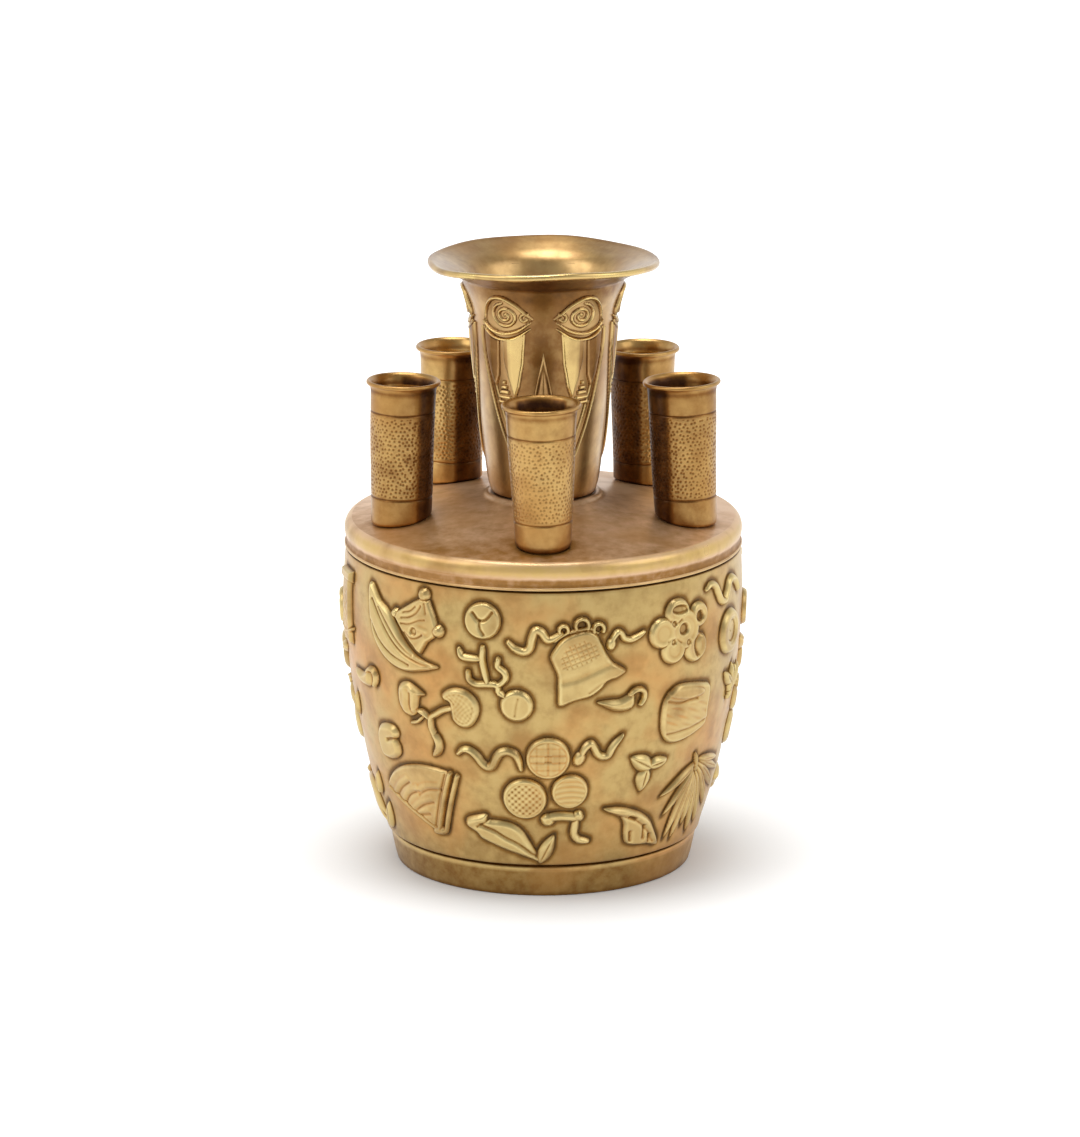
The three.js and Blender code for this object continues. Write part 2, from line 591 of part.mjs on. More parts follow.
function buildVase() {
  const castBrass = brass(0xc09b62, 0.42);
  const neckBrass = brass(0xc39d60, 0.38);
  const plateBrass = brass(0xa88660, 0.4);
  const tubeBrass = brass(0xba945a, 0.42);
  const baseBrass = brass(0x96703c, 0.5);
  const solder = brass(0x9b9080, 0.55);
  const vase = new THREE.Group();
  vase.add(mesh("body_shell", bodyShell(), castBrass));
  vase.add(mesh("base_plate", basePlate(), baseBrass));
  vase.add(mesh("base_solder", baseSolder(), solder));
  vase.add(mesh("shoulder_plate", shoulderPlate(), plateBrass));
  vase.add(mesh("shoulder_solder", shoulderSolder(), solder));
  vase.add(mesh("neck", neck(), neckBrass));
  vase.add(mesh("neck_solder", neckSolder(), solder));
  for (const tube of TUBES) {
    const set = new THREE.Group();
    set.add(mesh(`tube_${tube.name}`, lippedTube(tube), tubeBrass));
    set.add(mesh(`tube_solder_${tube.name}`, tubeSolder(tube), solder));
    set.applyMatrix4(tubePlace(tube));
    vase.add(set);
  }
  return vase;
}

export default buildVase();
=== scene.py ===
import math

import bmesh
import bpy
import numpy as np
from mathutils import Matrix, Vector


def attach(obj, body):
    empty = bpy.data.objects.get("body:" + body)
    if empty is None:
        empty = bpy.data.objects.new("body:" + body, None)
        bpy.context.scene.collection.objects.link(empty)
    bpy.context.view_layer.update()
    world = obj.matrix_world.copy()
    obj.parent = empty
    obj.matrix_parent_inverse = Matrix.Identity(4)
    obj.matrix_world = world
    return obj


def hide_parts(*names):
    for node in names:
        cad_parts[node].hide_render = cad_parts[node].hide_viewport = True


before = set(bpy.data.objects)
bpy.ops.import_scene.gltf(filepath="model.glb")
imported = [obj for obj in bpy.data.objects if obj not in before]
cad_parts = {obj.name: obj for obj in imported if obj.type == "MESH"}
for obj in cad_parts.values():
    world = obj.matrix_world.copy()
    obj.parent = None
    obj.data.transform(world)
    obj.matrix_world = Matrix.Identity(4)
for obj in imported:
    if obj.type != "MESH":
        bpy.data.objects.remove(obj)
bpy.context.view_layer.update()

# Millimetres are used for every shape. A finished mesh is brought to metres once.
MM = 0.001
WELD = 0.001
FULL_TURN = 2 * math.pi

# Barrel body and foot band
FOOT_RADIUS = 43.5
FOOT_TOP_RADIUS = 45.2
FOOT_HEIGHT = 9.4
FOOT_GROOVE_HEIGHT = 0.7
FOOT_GROOVE_DEPTH = 0.9
WALL_START = FOOT_HEIGHT + FOOT_GROOVE_HEIGHT
WALL_FOOT_RADIUS = 46.2
BELLY_RADIUS = 58.6
BELLY_HEIGHT = 81.0
BELLY_SWELL = 1.8
WALL_TOP_RADIUS = 58.0
WALL_TOP_HEIGHT = 95.0
WALL_THICKNESS = 2.2
WALL_UNEVENNESS = 0.09
WALL_FADE = 3
WALL_ROWS = 134
FOOT_BORE = 40.3
BASE_RECESS = 4.5
BASE_THICKNESS = 1.8
BASE_RIPPLE = 0.06
LEDGE_RADIUS = 37.9
LEDGE_TOP = 6.9
FLOOR_FILLET = 6.0
BODY_FACETS = 560
BASE_FACETS = 128

# Shoulder plate
SHOULDER_EDGE = 103.5
SHOULDER_RISE = 6.8
SHOULDER_CROWN = 0.9
SHOULDER_THICKNESS = 1.8
SHOULDER_FACETS = 256
DOME_ROWS = 44
DRILL_FACETS = 64
BEAD_RADIUS = 58.3
BEAD_HALF_WIDTH = 2.4
BEAD_HALF_HEIGHT = 3.2
COVE_RADIUS = 57.75
DOME_RADIUS = BEAD_RADIUS - BEAD_HALF_WIDTH
SKIRT_RADIUS = 55.5
SKIRT_WALL = 1.6
SKIRT_DEPTH = 5.0
COLLAR_RADIUS = 17.4
COLLAR_RISE = 0.5
CLEARANCE = 0.3

# Neck and mouth
NECK_BASE_RADIUS = 15.3
NECK_SEAT = SHOULDER_EDGE + SHOULDER_RISE + COLLAR_RISE + CLEARANCE
NECK_STATIONS = [(15.3, 0.0), (16.9, 8.4), (20.4, 43.5), (21.3, 55.0), (24.0, 64.0)]
NECK_WALL = 1.7
NECK_FACETS = 256
NECK_ROWS = 96
NECK_SPIGOT_RADIUS = 14.1
NECK_SPIGOT_WALL = 1.5
NECK_SPIGOT_BOTTOM = SHOULDER_EDGE + SHOULDER_RISE - SHOULDER_THICKNESS - 2.1
MOUTH_RADIUS = 33.7
MOUTH_RISE = 4.9
MOUTH_RIM = 2.0
MOUTH_LIFT = 1.9

# The five small tubes
TUBE_CIRCLE_RADIUS = 43.5
TUBE_HEIGHT = 41.2
TUBE_TOP_RADIUS = 9.6
TUBE_FOOT_RADIUS = 8.8
TUBE_WALL = 1.4
TUBE_FOOT_ROUND = 1.1
TUBE_FACETS = 240
LIP_FLARE = 1.3
LIP_HEIGHT = 3.0
LIP_EDGE = 1.3
LIP_BASE = TUBE_HEIGHT - LIP_HEIGHT
GROOVE_DEPTH = 0.28
GROOVE_MARGIN = 0.7
BAND_BOTTOM = 7.0
BAND_TOP = TUBE_HEIGHT - 9.0
BAND_ROWS = 118
TENON_RADIUS = 7.2
TENON_WALL = 1.1
TENON_BOTTOM = -5.2
PUNCH_PITCH = 1.32
PUNCH_ROW = 0.88 * PUNCH_PITCH
PUNCH_ROWS = 64
PUNCH_SEED = 20
PUNCH_JITTER = 0.3
PUNCH_PIT = 0.34
PUNCH_DEPTH = 0.13
PUNCH_RING = 0.55
PUNCH_RING_WIDTH = 0.16
PUNCH_RING_RISE = 0.03

# Azimuth and leans in degrees, the shares of the usual radii at top and foot, how many degrees
# the painted shade on the side facing the neck spans to each side, and the tone of the metal,
# set lower on the two side tubes as painted shade
TUBES = [dict(zip(("name", "azimuth", "inward", "sideways", "top", "foot", "dark", "tone"), row)) for row in [
    ("front", 0, 0, -0.9, 1.06, 0.92, 55, 0.43),
    ("front_right", 72, 2, 0, 1.04, 1.02, 88, 0.35),
    ("back_right", 137, 0.4, 0, 1, 1, 46, 0.43),
    ("back_left", 218.5, 0.4, 0, 1, 1, 40, 0.46),
    ("front_left", 288, 1.3, 0, 0.99, 1, 82, 0.35),
]]

# Relief
PROUD = 1.3
EDGE = 0.9
FALL = 1.6
ROOT = 1.1
THINNEST = 0.1
TRIM = 0.7
OUTLINE_DIP = 0.22
RIBBON = 1.9
EMBLEM_STEP = 0.25
EMBLEM_GROUPS = 6
CREST_REACH = 0.4
CREST_FULL = 0.1
# Painted shade on the wall round each emblem: how far below a point the emblem is looked for, the shade's depth
# beside and above an emblem, and how far it reaches
SHADE_DROP = 0.9
SHADE_BESIDE = 0.27
SHADE_ABOVE = 0.14
SHADE_REACH = 2.5
LAPPET_STEP = 0.28
LAPPET_RADIUS = 21.0
LAPPET_BASE = 150.0
LAPPET_SIZE = (22.4, 40)
LAPPET_TURNS = [0, math.radians(125), -math.radians(125)]
LAPPETS = len(LAPPET_TURNS)

# Tones: 0 is grime, 0.5 plain metal, 1 rubbed bright. Tones also carry painted shade, painted highlights and painted
# reflections.
INNER_TONE = 0.42
SEAM_TONE = 0.15
BASE_TONE = 0.4


# Camera

CAMERA_PLACE = Vector((-0.00097, -1.6754, 0.5250))
CAMERA_TARGET = Vector((-0.00097, 0.0, 0.08696))
CAMERA_LENS = 186.54
SENSOR_WIDTH = 36
CAMERA_REACH = 20


def put_in_scene(name, data):
    made = bpy.data.objects.new(name, data)
    bpy.context.scene.collection.objects.link(made)
    return made


def aim(made, place, target):
    made.location = place
    made.rotation_euler = (target - Vector(place)).to_track_quat("-Z", "Y").to_euler()


def add_camera():
    data = bpy.data.cameras.new("camera")
    data.lens = CAMERA_LENS
    data.sensor_width = SENSOR_WIDTH
    data.clip_end = CAMERA_REACH
    camera = put_in_scene("camera", data)
    aim(camera, CAMERA_PLACE, CAMERA_TARGET)
    bpy.context.scene.camera = camera


add_camera()


# Lines and curves

def spread(a, b, count):
    """Evenly spaced numbers from a to b, both ends in."""
    return [a + (b - a) * i / count for i in range(count + 1)]


def arc(x, y, half_width, half_height, start, end, count):
    """Points along an ellipse's arc, angles in degrees."""
    turns = [math.radians(a) for a in spread(start, end, count)]
    return [(x + half_width * math.cos(t), y + half_height * math.sin(t)) for t in turns]


def smooth(points, each=6, closed=False):
    """A Catmull-Rom line through the points, with a number of steps for each stretch."""
    p = np.array(points, float)
    before, after = (p[-1], p[:2]) if closed else (2 * p[0] - p[1], 2 * p[-1] - p[-2])
    p = np.vstack([before, p, after])
    line = [0.5 * (2 * b + (c - a) * t + (2 * a - 5 * b + 4 * c - d) * t ** 2 + (3 * b - a - 3 * c + d) * t ** 3)
            for a, b, c, d in zip(p, p[1:], p[2:], p[3:]) for t in np.arange(each) / each]
    return [tuple(q) for q in (line if closed else line + [p[-2]])]


def ease(t):
    t = np.clip(t, 0, 1)
    return t * t * (3 - 2 * t)


def groove(d, depth, width):
    """How deep a soft line lies at a distance d from its middle."""
    return depth * np.exp(-(d / width) ** 2)


# Surfaces that the relief and the tubes stand on

def wall_radius(z):
    """Outer radius of the barrel at height z."""
    upper = BELLY_RADIUS - (BELLY_RADIUS - WALL_TOP_RADIUS) * (
        (z - BELLY_HEIGHT) / (WALL_TOP_HEIGHT - BELLY_HEIGHT)) ** 2
    t = np.clip((BELLY_HEIGHT - z) / (BELLY_HEIGHT - WALL_START), 0, 1)
    lower = BELLY_RADIUS - (BELLY_RADIUS - WALL_FOOT_RADIUS) * t ** BELLY_SWELL
    return np.where(z >= BELLY_HEIGHT, upper, lower)


def uneven_wall(azimuth, z):
    """Slight unevenness of the cast wall, none at its two edges."""
    waves = (np.sin(3 * azimuth + 0.07 * z) + np.sin(7 * azimuth - 0.11 * z + 1)
             + 0.6 * np.sin(13 * azimuth + 0.23 * z + 2))
    return WALL_UNEVENNESS * waves * ease((z - WALL_START) / WALL_FADE) * ease((WALL_TOP_HEIGHT - z) / WALL_FADE)


NECK_LINE = np.array(smooth(NECK_STATIONS, 12))


def neck_radius(z):
    """Outer radius of the neck at height z, up to where the mouth opens."""
    return np.interp(z - NECK_SEAT, NECK_LINE[:, 1], NECK_LINE[:, 0])


def shoulder_height(r):
    """Height of the shoulder's top surface at radius r."""
    t = np.clip((r - NECK_BASE_RADIUS) / (DOME_RADIUS - NECK_BASE_RADIUS), 0, None)
    return SHOULDER_EDGE + SHOULDER_RISE * (1 - t ** SHOULDER_CROWN)


def lay_on(radius, azimuth, z, height, bumps=0):
    """Points at a height over a turned surface, measured square to it."""
    slope = radius(z + 0.5) - radius(z - 0.5)
    length = np.sqrt(1 + slope ** 2)
    out = radius(z) + (height + bumps) / length
    return np.stack([out * np.sin(azimuth), -out * np.cos(azimuth), z - height * slope / length], -1)


# Distances to flat shapes, in millimetres: under 0 inside

def to_disc(x, y, cx, cy, r):
    return np.hypot(x - cx, y - cy) - r


def to_oval(x, y, cx, cy, half_width, half_height, turn):
    c, s = math.cos(math.radians(turn)), math.sin(math.radians(turn))
    u = (x - cx) * c + (y - cy) * s
    v = (y - cy) * c - (x - cx) * s
    k = np.hypot(u / half_width, v / half_height)
    steep = np.hypot(u / half_width ** 2, v / half_height ** 2) + 1e-6
    return k * (k - 1) / steep


def to_line(x, y, points):
    """Distance to a line through the points, and how far along it the nearest point is."""
    best = np.full(x.shape, np.inf)
    along = np.zeros(x.shape)
    p = np.array(points, float)
    lengths = np.hypot(*(p[1:] - p[:-1]).T)
    walked = 0.0
    for a, b, length in zip(p[:-1], p[1:], lengths):
        if length < 1e-9:
            continue
        ux, uy = (b - a) / length
        t = np.clip((x - a[0]) * ux + (y - a[1]) * uy, 0, length)
        d = np.hypot(x - a[0] - t * ux, y - a[1] - t * uy)
        nearer = d < best
        best = np.where(nearer, d, best)
        along = np.where(nearer, (walked + t) / lengths.sum(), along)
        walked += length
    return best, along


def to_outline(x, y, points):
    """Signed distance to a closed outline."""
    best, _ = to_line(x, y, list(points) + [points[0]])
    inside = np.zeros(x.shape, bool)
    for (ax, ay), (bx, by) in zip(points, list(points[1:]) + [points[0]]):
        if ay != by:
            inside ^= ((ay > y) != (by > y)) & (x < (bx - ax) * (y - ay) / (by - ay) + ax)
    return np.where(inside, -best, best)


# Raised forms: height over the surface, falling below it outside the shape

def rise(d, proud=PROUD, edge=EDGE):
    """A raised form with a rounded edge over a shape that is d away, falling outside it."""
    t = np.clip(-d / edge, 0, 1)
    return proud * np.sin(t * math.pi / 2) - np.maximum(d, 0) * FALL


def lattice(x, y, pitch, turn, depth):
    """Crossed rows of fine lines."""
    c, s = math.cos(math.radians(turn)), math.sin(math.radians(turn))
    u = (x * c + y * s) * math.pi / pitch
    v = (y * c - x * s) * math.pi / pitch
    return depth * (1 - np.minimum(np.abs(np.sin(u)), np.abs(np.sin(v))) ** 0.5)


class Relief:
    """A figure's height h over flat x and y, in millimetres. Forms raise it, and lines cut it."""

    def __init__(self, figure, x, y):
        self.x, self.y, self.h = x, y, -np.inf
        figure(self)

    def add(self, form):
        self.h = np.maximum(self.h, form)

    def disc(self, cx, cy, radius, proud=PROUD, edge=EDGE):
        d = to_disc(self.x, self.y, cx, cy, radius)
        self.add(rise(d, proud, edge))
        return d

    def oval(self, cx, cy, half_width, half_height, turn, proud, edge):
        self.add(rise(to_oval(self.x, self.y, cx, cy, half_width, half_height, turn), proud, edge))

    def shape(self, points, proud, edge, each=4):
        """A closed outline, smoothed with a number of steps each. Gives the distance to it."""
        d = to_outline(self.x, self.y, smooth(points, each, True))
        self.add(rise(d, proud, edge))
        return d

    def strip(self, points, width=RIBBON, proud=PROUD, ends=0.55, each=6):
        """A rounded strip along a smooth line, thinner at its ends."""
        d, along = to_line(self.x, self.y, smooth(points, each))
        half = width / 2 * (1 - (1 - ends) * np.abs(2 * along - 1) ** 4)
        self.add(rise(d - half, proud, width * 0.45))

    def leaf(self, base, tip, width, proud=PROUD, vein=0.25):
        """A pointed leaf with a groove down its middle."""
        ax, ay = base
        length = math.hypot(tip[0] - ax, tip[1] - ay)
        ux, uy = (tip[0] - ax) / length, (tip[1] - ay) / length
        u = ((self.x - ax) * ux + (self.y - ay) * uy) / length
        v = (self.y - ay) * ux - (self.x - ax) * uy
        half = width / 2 * np.sin(math.pi * np.clip(u, 0.0, 1.0) ** 0.8) ** 0.8
        beyond = np.maximum(np.maximum(-u, u - 1), 0) * length
        d = np.hypot(np.maximum(np.abs(v) - half, 0), beyond)
        d = np.where(d > 0, d, np.abs(v) - half)
        self.add(rise(d, proud, width * 0.35) - groove(v, vein, 0.28) * (d < 0))

    def cut(self, points, depth, width, each=4, where=1):
        """A chased line, or a raised one when its depth is under 0."""
        d = to_line(self.x, self.y, smooth(points, each))[0]
        self.h = self.h - groove(d, depth, width) * where

    def pit(self, cx, cy, radius, depth, soft):
        self.h = self.h - depth * ease(-to_disc(self.x, self.y, cx, cy, radius) / soft)


# The cast emblems: each shapes a relief f round its own centre

def curl_disc(f):
    f.disc(0, 0, 5.5)
    f.cut([(-2.8, 2.3), (-1, 0.2), (1, 0.4), (3, 2.7)], 0.7, 0.5)
    f.cut([(-0.9, 0), (-0.6, -2.2), (0.5, -3.9)], 0.55, 0.45)


def split_disc(f):
    f.disc(0, 0.3, 4.9, PROUD, 1.4)
    f.cut([(0.5, 2.6), (0, 0.4), (-0.4, -2.4)], 0.2, 0.5)
    f.strip([(-5.3, 6.2), (-5.1, 4.4), (-3.4, 3)], 2.1)


def woven_disc(f):
    d = f.disc(0, 0, 6.4)
    weave = 1 + np.sin(f.x * math.pi / 0.98) * np.sin(f.y * math.pi / 0.98)
    f.h = f.h - groove(d + 1.1, 0.15, 0.4) - ease((-d - 1.2) / 0.6) * 0.13 * weave


def lined_disc(f):
    d = f.disc(0, 0.2, 5.4)
    lines = 1 + np.sin((f.y + 0.04 * f.x ** 2) * FULL_TURN / 1.7)
    f.h = f.h - groove(d + 0.95, 0.16, 0.32) - ease((-d - 0.9) / 0.5) * 0.07 * lines


def coin(f):
    """Round coin. A plain crossed field stands where it would be lettered."""
    d = f.disc(0, 0, 6.5)
    across, up = np.abs(f.x), np.abs(f.y)
    bars = (groove(f.x, 0.22, 0.55) + groove(up - 1.1, 0.2, 0.46) + groove(across - 3.2, 0.1, 0.4)
            + groove(up - 3.4, 0.1, 0.4))
    f.h = f.h - groove(d + 1.1, 0.22, 0.4) - ease((-d - 1.1) / 0.5) * bars
    f.h = f.h - 0.25 * ease((1.3 - np.maximum(across, up)) / 0.5)


def hoop(f):
    f.oval(0, 0, 6.4, 6.9, -12, PROUD, 1.3)
    inner = to_oval(f.x, f.y, 0.4, 0.2, 3.4, 3.8, -12)
    f.h = f.h - 0.8 * ease(-inner / 0.8) - groove(inner, 0.25, 0.4)


def book(f):
    corners = [(1.2, 7.6), (4.4, 7.2), (6.4, 3), (7.6, -0.6), (6.2, -3.6), (3.8, -5.4), (1.2, -9.3),
               (-2.4, -6.2), (-5.6, -3.2), (-8.6, 0.4), (-7.6, 2.4), (-4.6, 4.2), (-1.4, 6.2)]
    f.add(rise(to_outline(f.x, f.y, corners)))
    f.cut([(-5.4, 0.7), (-2.4, 1.4), (0.2, 3), (1.7, 5.2)], 0.4, 0.45)
    f.cut([(-4.6, 2.5), (-2, 3.3), (-0.2, 4.8)], 0.3, 0.4)
    f.cut([(-5.6, -1), (-2.4, -0.6), (1, 0.9), (3.2, 1.4)], 0.3, 0.4)
    f.cut([(2.9, 6.2), (3.5, 3.4)], 0.3, 0.45)
    f.pit(-0.9, -2.6, 1.5, 0.7, 0.7)
    f.cut([(-4.2, -3.4), (-2, -4.7), (0.4, -4.3), (2.2, -3.2)], 0.4, 0.45)
    f.cut([(0.8, -1.3), (3.6, -1.8)], -0.25, 0.7)
    f.cut([(0.6, -7.2), (3.4, -4)], -0.3, 0.9)
    f.disc(2.3, 8.6, 2.1, 1.6, 1.5)
    f.disc(7.4, -1.4, 2.0, 1.7, 1.5)
    f.disc(-8.4, 1.4, 1.6, 1.5, 1.2)


def horn(f):
    f.shape([(-13, 13.4), (-11.4, 14.2), (-9.6, 12.6), (-7, 9.8), (-4.4, 8.4), (-2.2, 6.6), (0.3, 3.6), (3.2, 0),
             (7, -3.3), (11, -5.1), (15.4, -6.3), (11, -8), (5, -9.2), (0, -9), (-4.6, -7.4), (-8.6, -4.2),
             (-11.2, 0), (-12.4, 5)], 1.2, 1.4)
    f.cut([(-10.4, 9.6), (-6.4, 4.4), (-1.6, -0.8), (4, -4.4), (12.4, -6.6)], 0.5, 0.55)
    f.cut([(-11, 3), (-7.4, -1.6), (-2, -5), (5, -7)], 0.4, 0.5)
    f.cut([(-7.4, 7.8), (-3.6, 3.8), (0.8, -0.6), (6, -4)], 0.35, 0.5)


def coral(f):
    f.strip([(-1.3, 7.4), (-1.4, 4), (-1, 1), (-0.4, -1.6), (0.2, -3.5)], 2.3, ends=0.7)
    f.strip([(-8.4, 6.2), (-7.4, 4.2), (-4.6, 3.8), (-1.6, 3.9)], 2.4, ends=0.6)
    f.strip([(-5.8, -0.4), (-5.4, -2.6), (-3.4, -3.8), (0, -3.6), (2.8, -3.8), (3.4, -6.2)], 2.3, ends=0.8)
    f.strip([(3.2, 4), (3.1, 2), (5, 0.2), (5.3, -1.6), (4, -3.2), (2.4, -3.8)], 2.3, ends=0.8)


def fungus(f):
    """Two ruffled heads on a forked stem."""
    d = f.shape([(-11.2, 6), (-9.6, 8), (-7, 8.7), (-4, 7.6), (-1.1, 5.7), (-3, 4.6), (-3.7, 2.6), (-4.2, 0),
                 (-6.4, -1.9), (-9.4, -1.4), (-11.3, 1.6)], 1.4, 1.8)
    f.h = f.h + 0.12 * np.sin(f.x * 2.1 + 0.5 * np.sin(f.y)) * ease((-d - 0.8) / 0.6)
    f.cut([(-6.2, 5.4), (-6.5, 2), (-6, -0.6)], 0.3, 0.45)
    head = [(4.6, 6.7), (6.6, 8.6), (9.6, 9.4), (13, 8.7), (15.6, 6), (16.1, 2.8), (14.8, -0.6), (12.6, -2.6),
            (9.8, -2.5), (7.6, -0.6), (7.1, 2.4), (6.8, 4.4), (5.2, 5.1)]
    d = to_outline(f.x, f.y, smooth(head, 4, True))
    dots = 0.045 * np.sin(3.9 * f.x + 1.3 * np.sin(f.y)) * np.sin(3.5 * f.y + 1.2 * np.sin(0.9 * f.x))
    f.add(rise(d, 1.4, 1.6) + dots * ease((-d - 0.8) / 0.6) - groove(d + 1.7, 0.14, 0.45))
    f.strip([(-4, 0.6), (-2, -0.1), (0.2, -1.4)], 2.0)
    f.strip([(7.6, 2.9), (4.6, 1.8), (2.4, 0.4), (0.5, -1), (0.1, -3.6), (0.9, -6), (1.7, -8)], 2.1, ends=0.9)
    f.strip([(0.9, -5.6), (2.1, -8.6), (1.8, -10.8), (0, -13)], 2.8, 1.4, 0.4)
    f.strip([(-7, -3.9), (-4.8, -3.2), (-2.8, -1.6)], 1.2, 0.9, ends=0.8)


def bean(f):
    f.shape([(-2.6, 4.8), (1, 6), (4.4, 5.8), (6, 3.8), (5.2, 1.4), (5.7, -0.6), (5.3, -2.8), (3, -4.6),
             (-0.4, -5.6), (-3.6, -4.8), (-4.8, -1), (-4.4, 2.4)], 1.4, 1.8)
    f.cut([(6, 1.5), (3.6, 1.9), (1.2, 1.2)], 0.7, 0.6)


def fan(f):
    """Feather fan between two ribs, with a second rib beside the right one."""
    radius = np.hypot(0.9 * f.x, f.y)
    angle = np.degrees(np.arctan2(f.x, f.y))
    d = np.maximum(radius - 20.5, np.maximum(-62 - angle, angle - 18) * radius * math.pi / 180)
    f.add(rise(d, 0.9, 0.9))
    for feather in ([(-8.6, 5.8), (-5, 8.6), (-0.8, 10.4)], [(-5.6, 12), (-2, 14.2), (2.4, 15)],
                    [(-10.4, 2.6), (-6.6, 5), (-3, 6.2)], [(-12, 8), (-9.4, 11), (-5.6, 13)],
                    [(-15.6, 9), (-12.6, 12.4), (-9, 15)]):
        f.cut(feather, -0.26, 0.8)
        f.cut([(a + 0.6, b - 1.4) for a, b in feather], 0.3, 0.55)
    f.cut([(-1.2, 1), (4.9, 19)], 0.5, 0.45, 1, d < -0.2)
    f.strip([(0.4, 0.6), (6.5, 19.4)], 1.8, 1.7, 0.9, 1)
    f.strip([(2.4, 0.6), (8.4, 18.8)], 1.7, 1.1, 0.9, 1)
    f.strip([(-1.4, 0.8), (-18.8, 9.6)], 1.5, 1.2, 0.9, 1)
    f.oval(0.4, 0.2, 2.7, 1.7, 8, 1.6, 1.4)


def ribbon_left(f):
    f.strip([(-9, 0.9), (-7.4, 2.3), (-5.2, 2.4), (-3.2, 0.9), (-1.6, -1.2), (0, -2.2), (1.4, -1.6), (2.6, 0.6),
             (4, 2.4), (6, 3), (8.1, 2.2), (9.2, 0.2), (9.8, -2.6)], 2.8, ends=0.5)


def ribbon_right(f):
    f.strip([(-6.3, -2.8), (-5.4, -0.6), (-4.2, 1.6), (-2.8, 2.6), (-1.6, 1.2), (-0.6, -0.6), (0.8, -1.6),
             (2.6, -1.4), (3.6, 0.4), (4.8, 2.2), (6.8, 4.4)], 2.6, ends=0.4)
    f.oval(-6, -1.8, 1.8, 2.5, -25, PROUD, 1.4)


def tail(f):
    f.strip([(-5.6, 2.6), (-3.6, 3.2), (-1, 3.4), (1.6, 3.1), (4.2, 2.9)], 3.0, 1.2, 0.9)
    f.disc(-4.8, 2.4, 2.1, 1.3, 1.4)
    f.disc(3.7, 3.5, 1.6, 1.3, 1.2)
    f.strip([(3.4, 2.6), (3, 0), (2.9, -2.6), (4.2, -4.4), (7, -5.1)], 2.5, 1.2, 0.6)


def pod(f):
    f.shape([(-10.4, 3.6), (-10, 6), (-7, 7.3), (-4, 7.9), (-3.4, 6.3), (0, 6.1), (3.4, 5.3), (6, 3.2), (7.8, 0),
             (9.4, -3), (11.2, -7), (8, -6), (4.4, -4.7), (0.6, -3.3), (-2.6, -1.9), (-6.2, -0.2), (-7.6, 1.6)],
            1.2, 1.5)
    f.cut([(-5.6, 4.4), (-2, 3), (1, 1), (4, -0.6), (7, -2.8), (9.6, -5)], 0.7, 0.6)
    f.cut([(-9, 5), (-6.2, 6.4)], -0.25, 0.9)
    f.cut([(-6.8, 4), (-4.6, 5.4), (-3.6, 6.6)], 0.4, 0.45)
    f.leaf((10.6, -7.6), (15, 2), 4.2, 1.1)


def single_leaf(f):
    f.leaf((-1.2, -4), (1.2, 4), 3.4)


def bag(f):
    """Tied bag. A plain lattice stands where the real one is lettered."""
    f.shape([(-10.9, 2.2), (-9.4, 5.2), (-7.2, 7.8), (-3.6, 9.4), (0, 9.9), (2.6, 8.6), (4.2, 5.8), (5.6, 2.6),
             (8, -0.4), (11.6, -3), (9.6, -4.9), (6, -6.2), (4, -8.2), (1, -10.2), (-3.6, -11.4), (-8.2, -12.9),
             (-8.7, -9), (-8.8, -4), (-9.9, -0.8)], 1.3, 1.2, 3)
    panel = to_outline(f.x, f.y, [(-8.6, 2), (-6.4, 6), (-1, 7.8), (2.8, 6), (4.2, 2), (1, 0), (-4, -2),
                                  (-7.8, -2.2)])
    f.h = f.h - lattice(f.x + 0.3, f.y, 1.45, 20, 0.2) * ease(-(panel + 0.3) / 0.8)
    f.cut([(-7, -5.2), (-5.8, -4.9), (-2, -3.9), (2, -2.2), (5.8, -0.8), (7, -0.6)], 0.42, 1.2)
    f.cut([(0.6, -8.8), (3.4, -6.8), (7, -5.4)], 0.3, 0.7)
    for cx, cy, size in [(-7, 10, 1.3), (-1.7, 11.2, 1.9), (3.1, 10, 1.5)]:
        f.strip(arc(cx, cy, size, size, -30, 210, 8), 1.5, 1.3, 1.0, 1)
    f.strip([(-9.6, 6.6), (-7, 8.6), (-3.4, 9.8), (0.4, 10.2), (3, 8.8)], 1.0, 0.9)


def cord_left(f):
    f.strip([(-7, -0.3), (-5.2, -2), (-2.6, -2.9), (-0.9, -1.8), (-0.2, 1), (0.8, 3.3), (2.4, 3), (4, 1),
             (5.6, 0.9), (8.2, 2.5)], 2.8, ends=0.6)


def cord_right(f):
    f.strip([(-5, -2.2), (-4.4, 0.2), (-3, 1.9), (-1.9, 1.5), (-0.9, 0), (1, -0.6), (3.6, 0.2), (5.4, 1.2)], 2.1)
    f.oval(-4.9, -1.4, 1.5, 2, -12, PROUD, 1.2)


def comma(f):
    f.shape([(-7.6, 0.4), (-4.5, 0.9), (-1, 0.9), (1.6, 1.9), (3.4, 3), (4.3, 1), (4.2, -1.2), (3, -2.6),
             (0.6, -3.1), (-2.4, -2.7), (-5.2, -1.3)], 1.4, 1.7)
    f.strip([(2.4, 1.8), (4, 2.9), (5.8, 3), (7.1, 1.9), (7.1, 0.2), (6.1, -1.6)], 1.9, 1.4, 0.7)


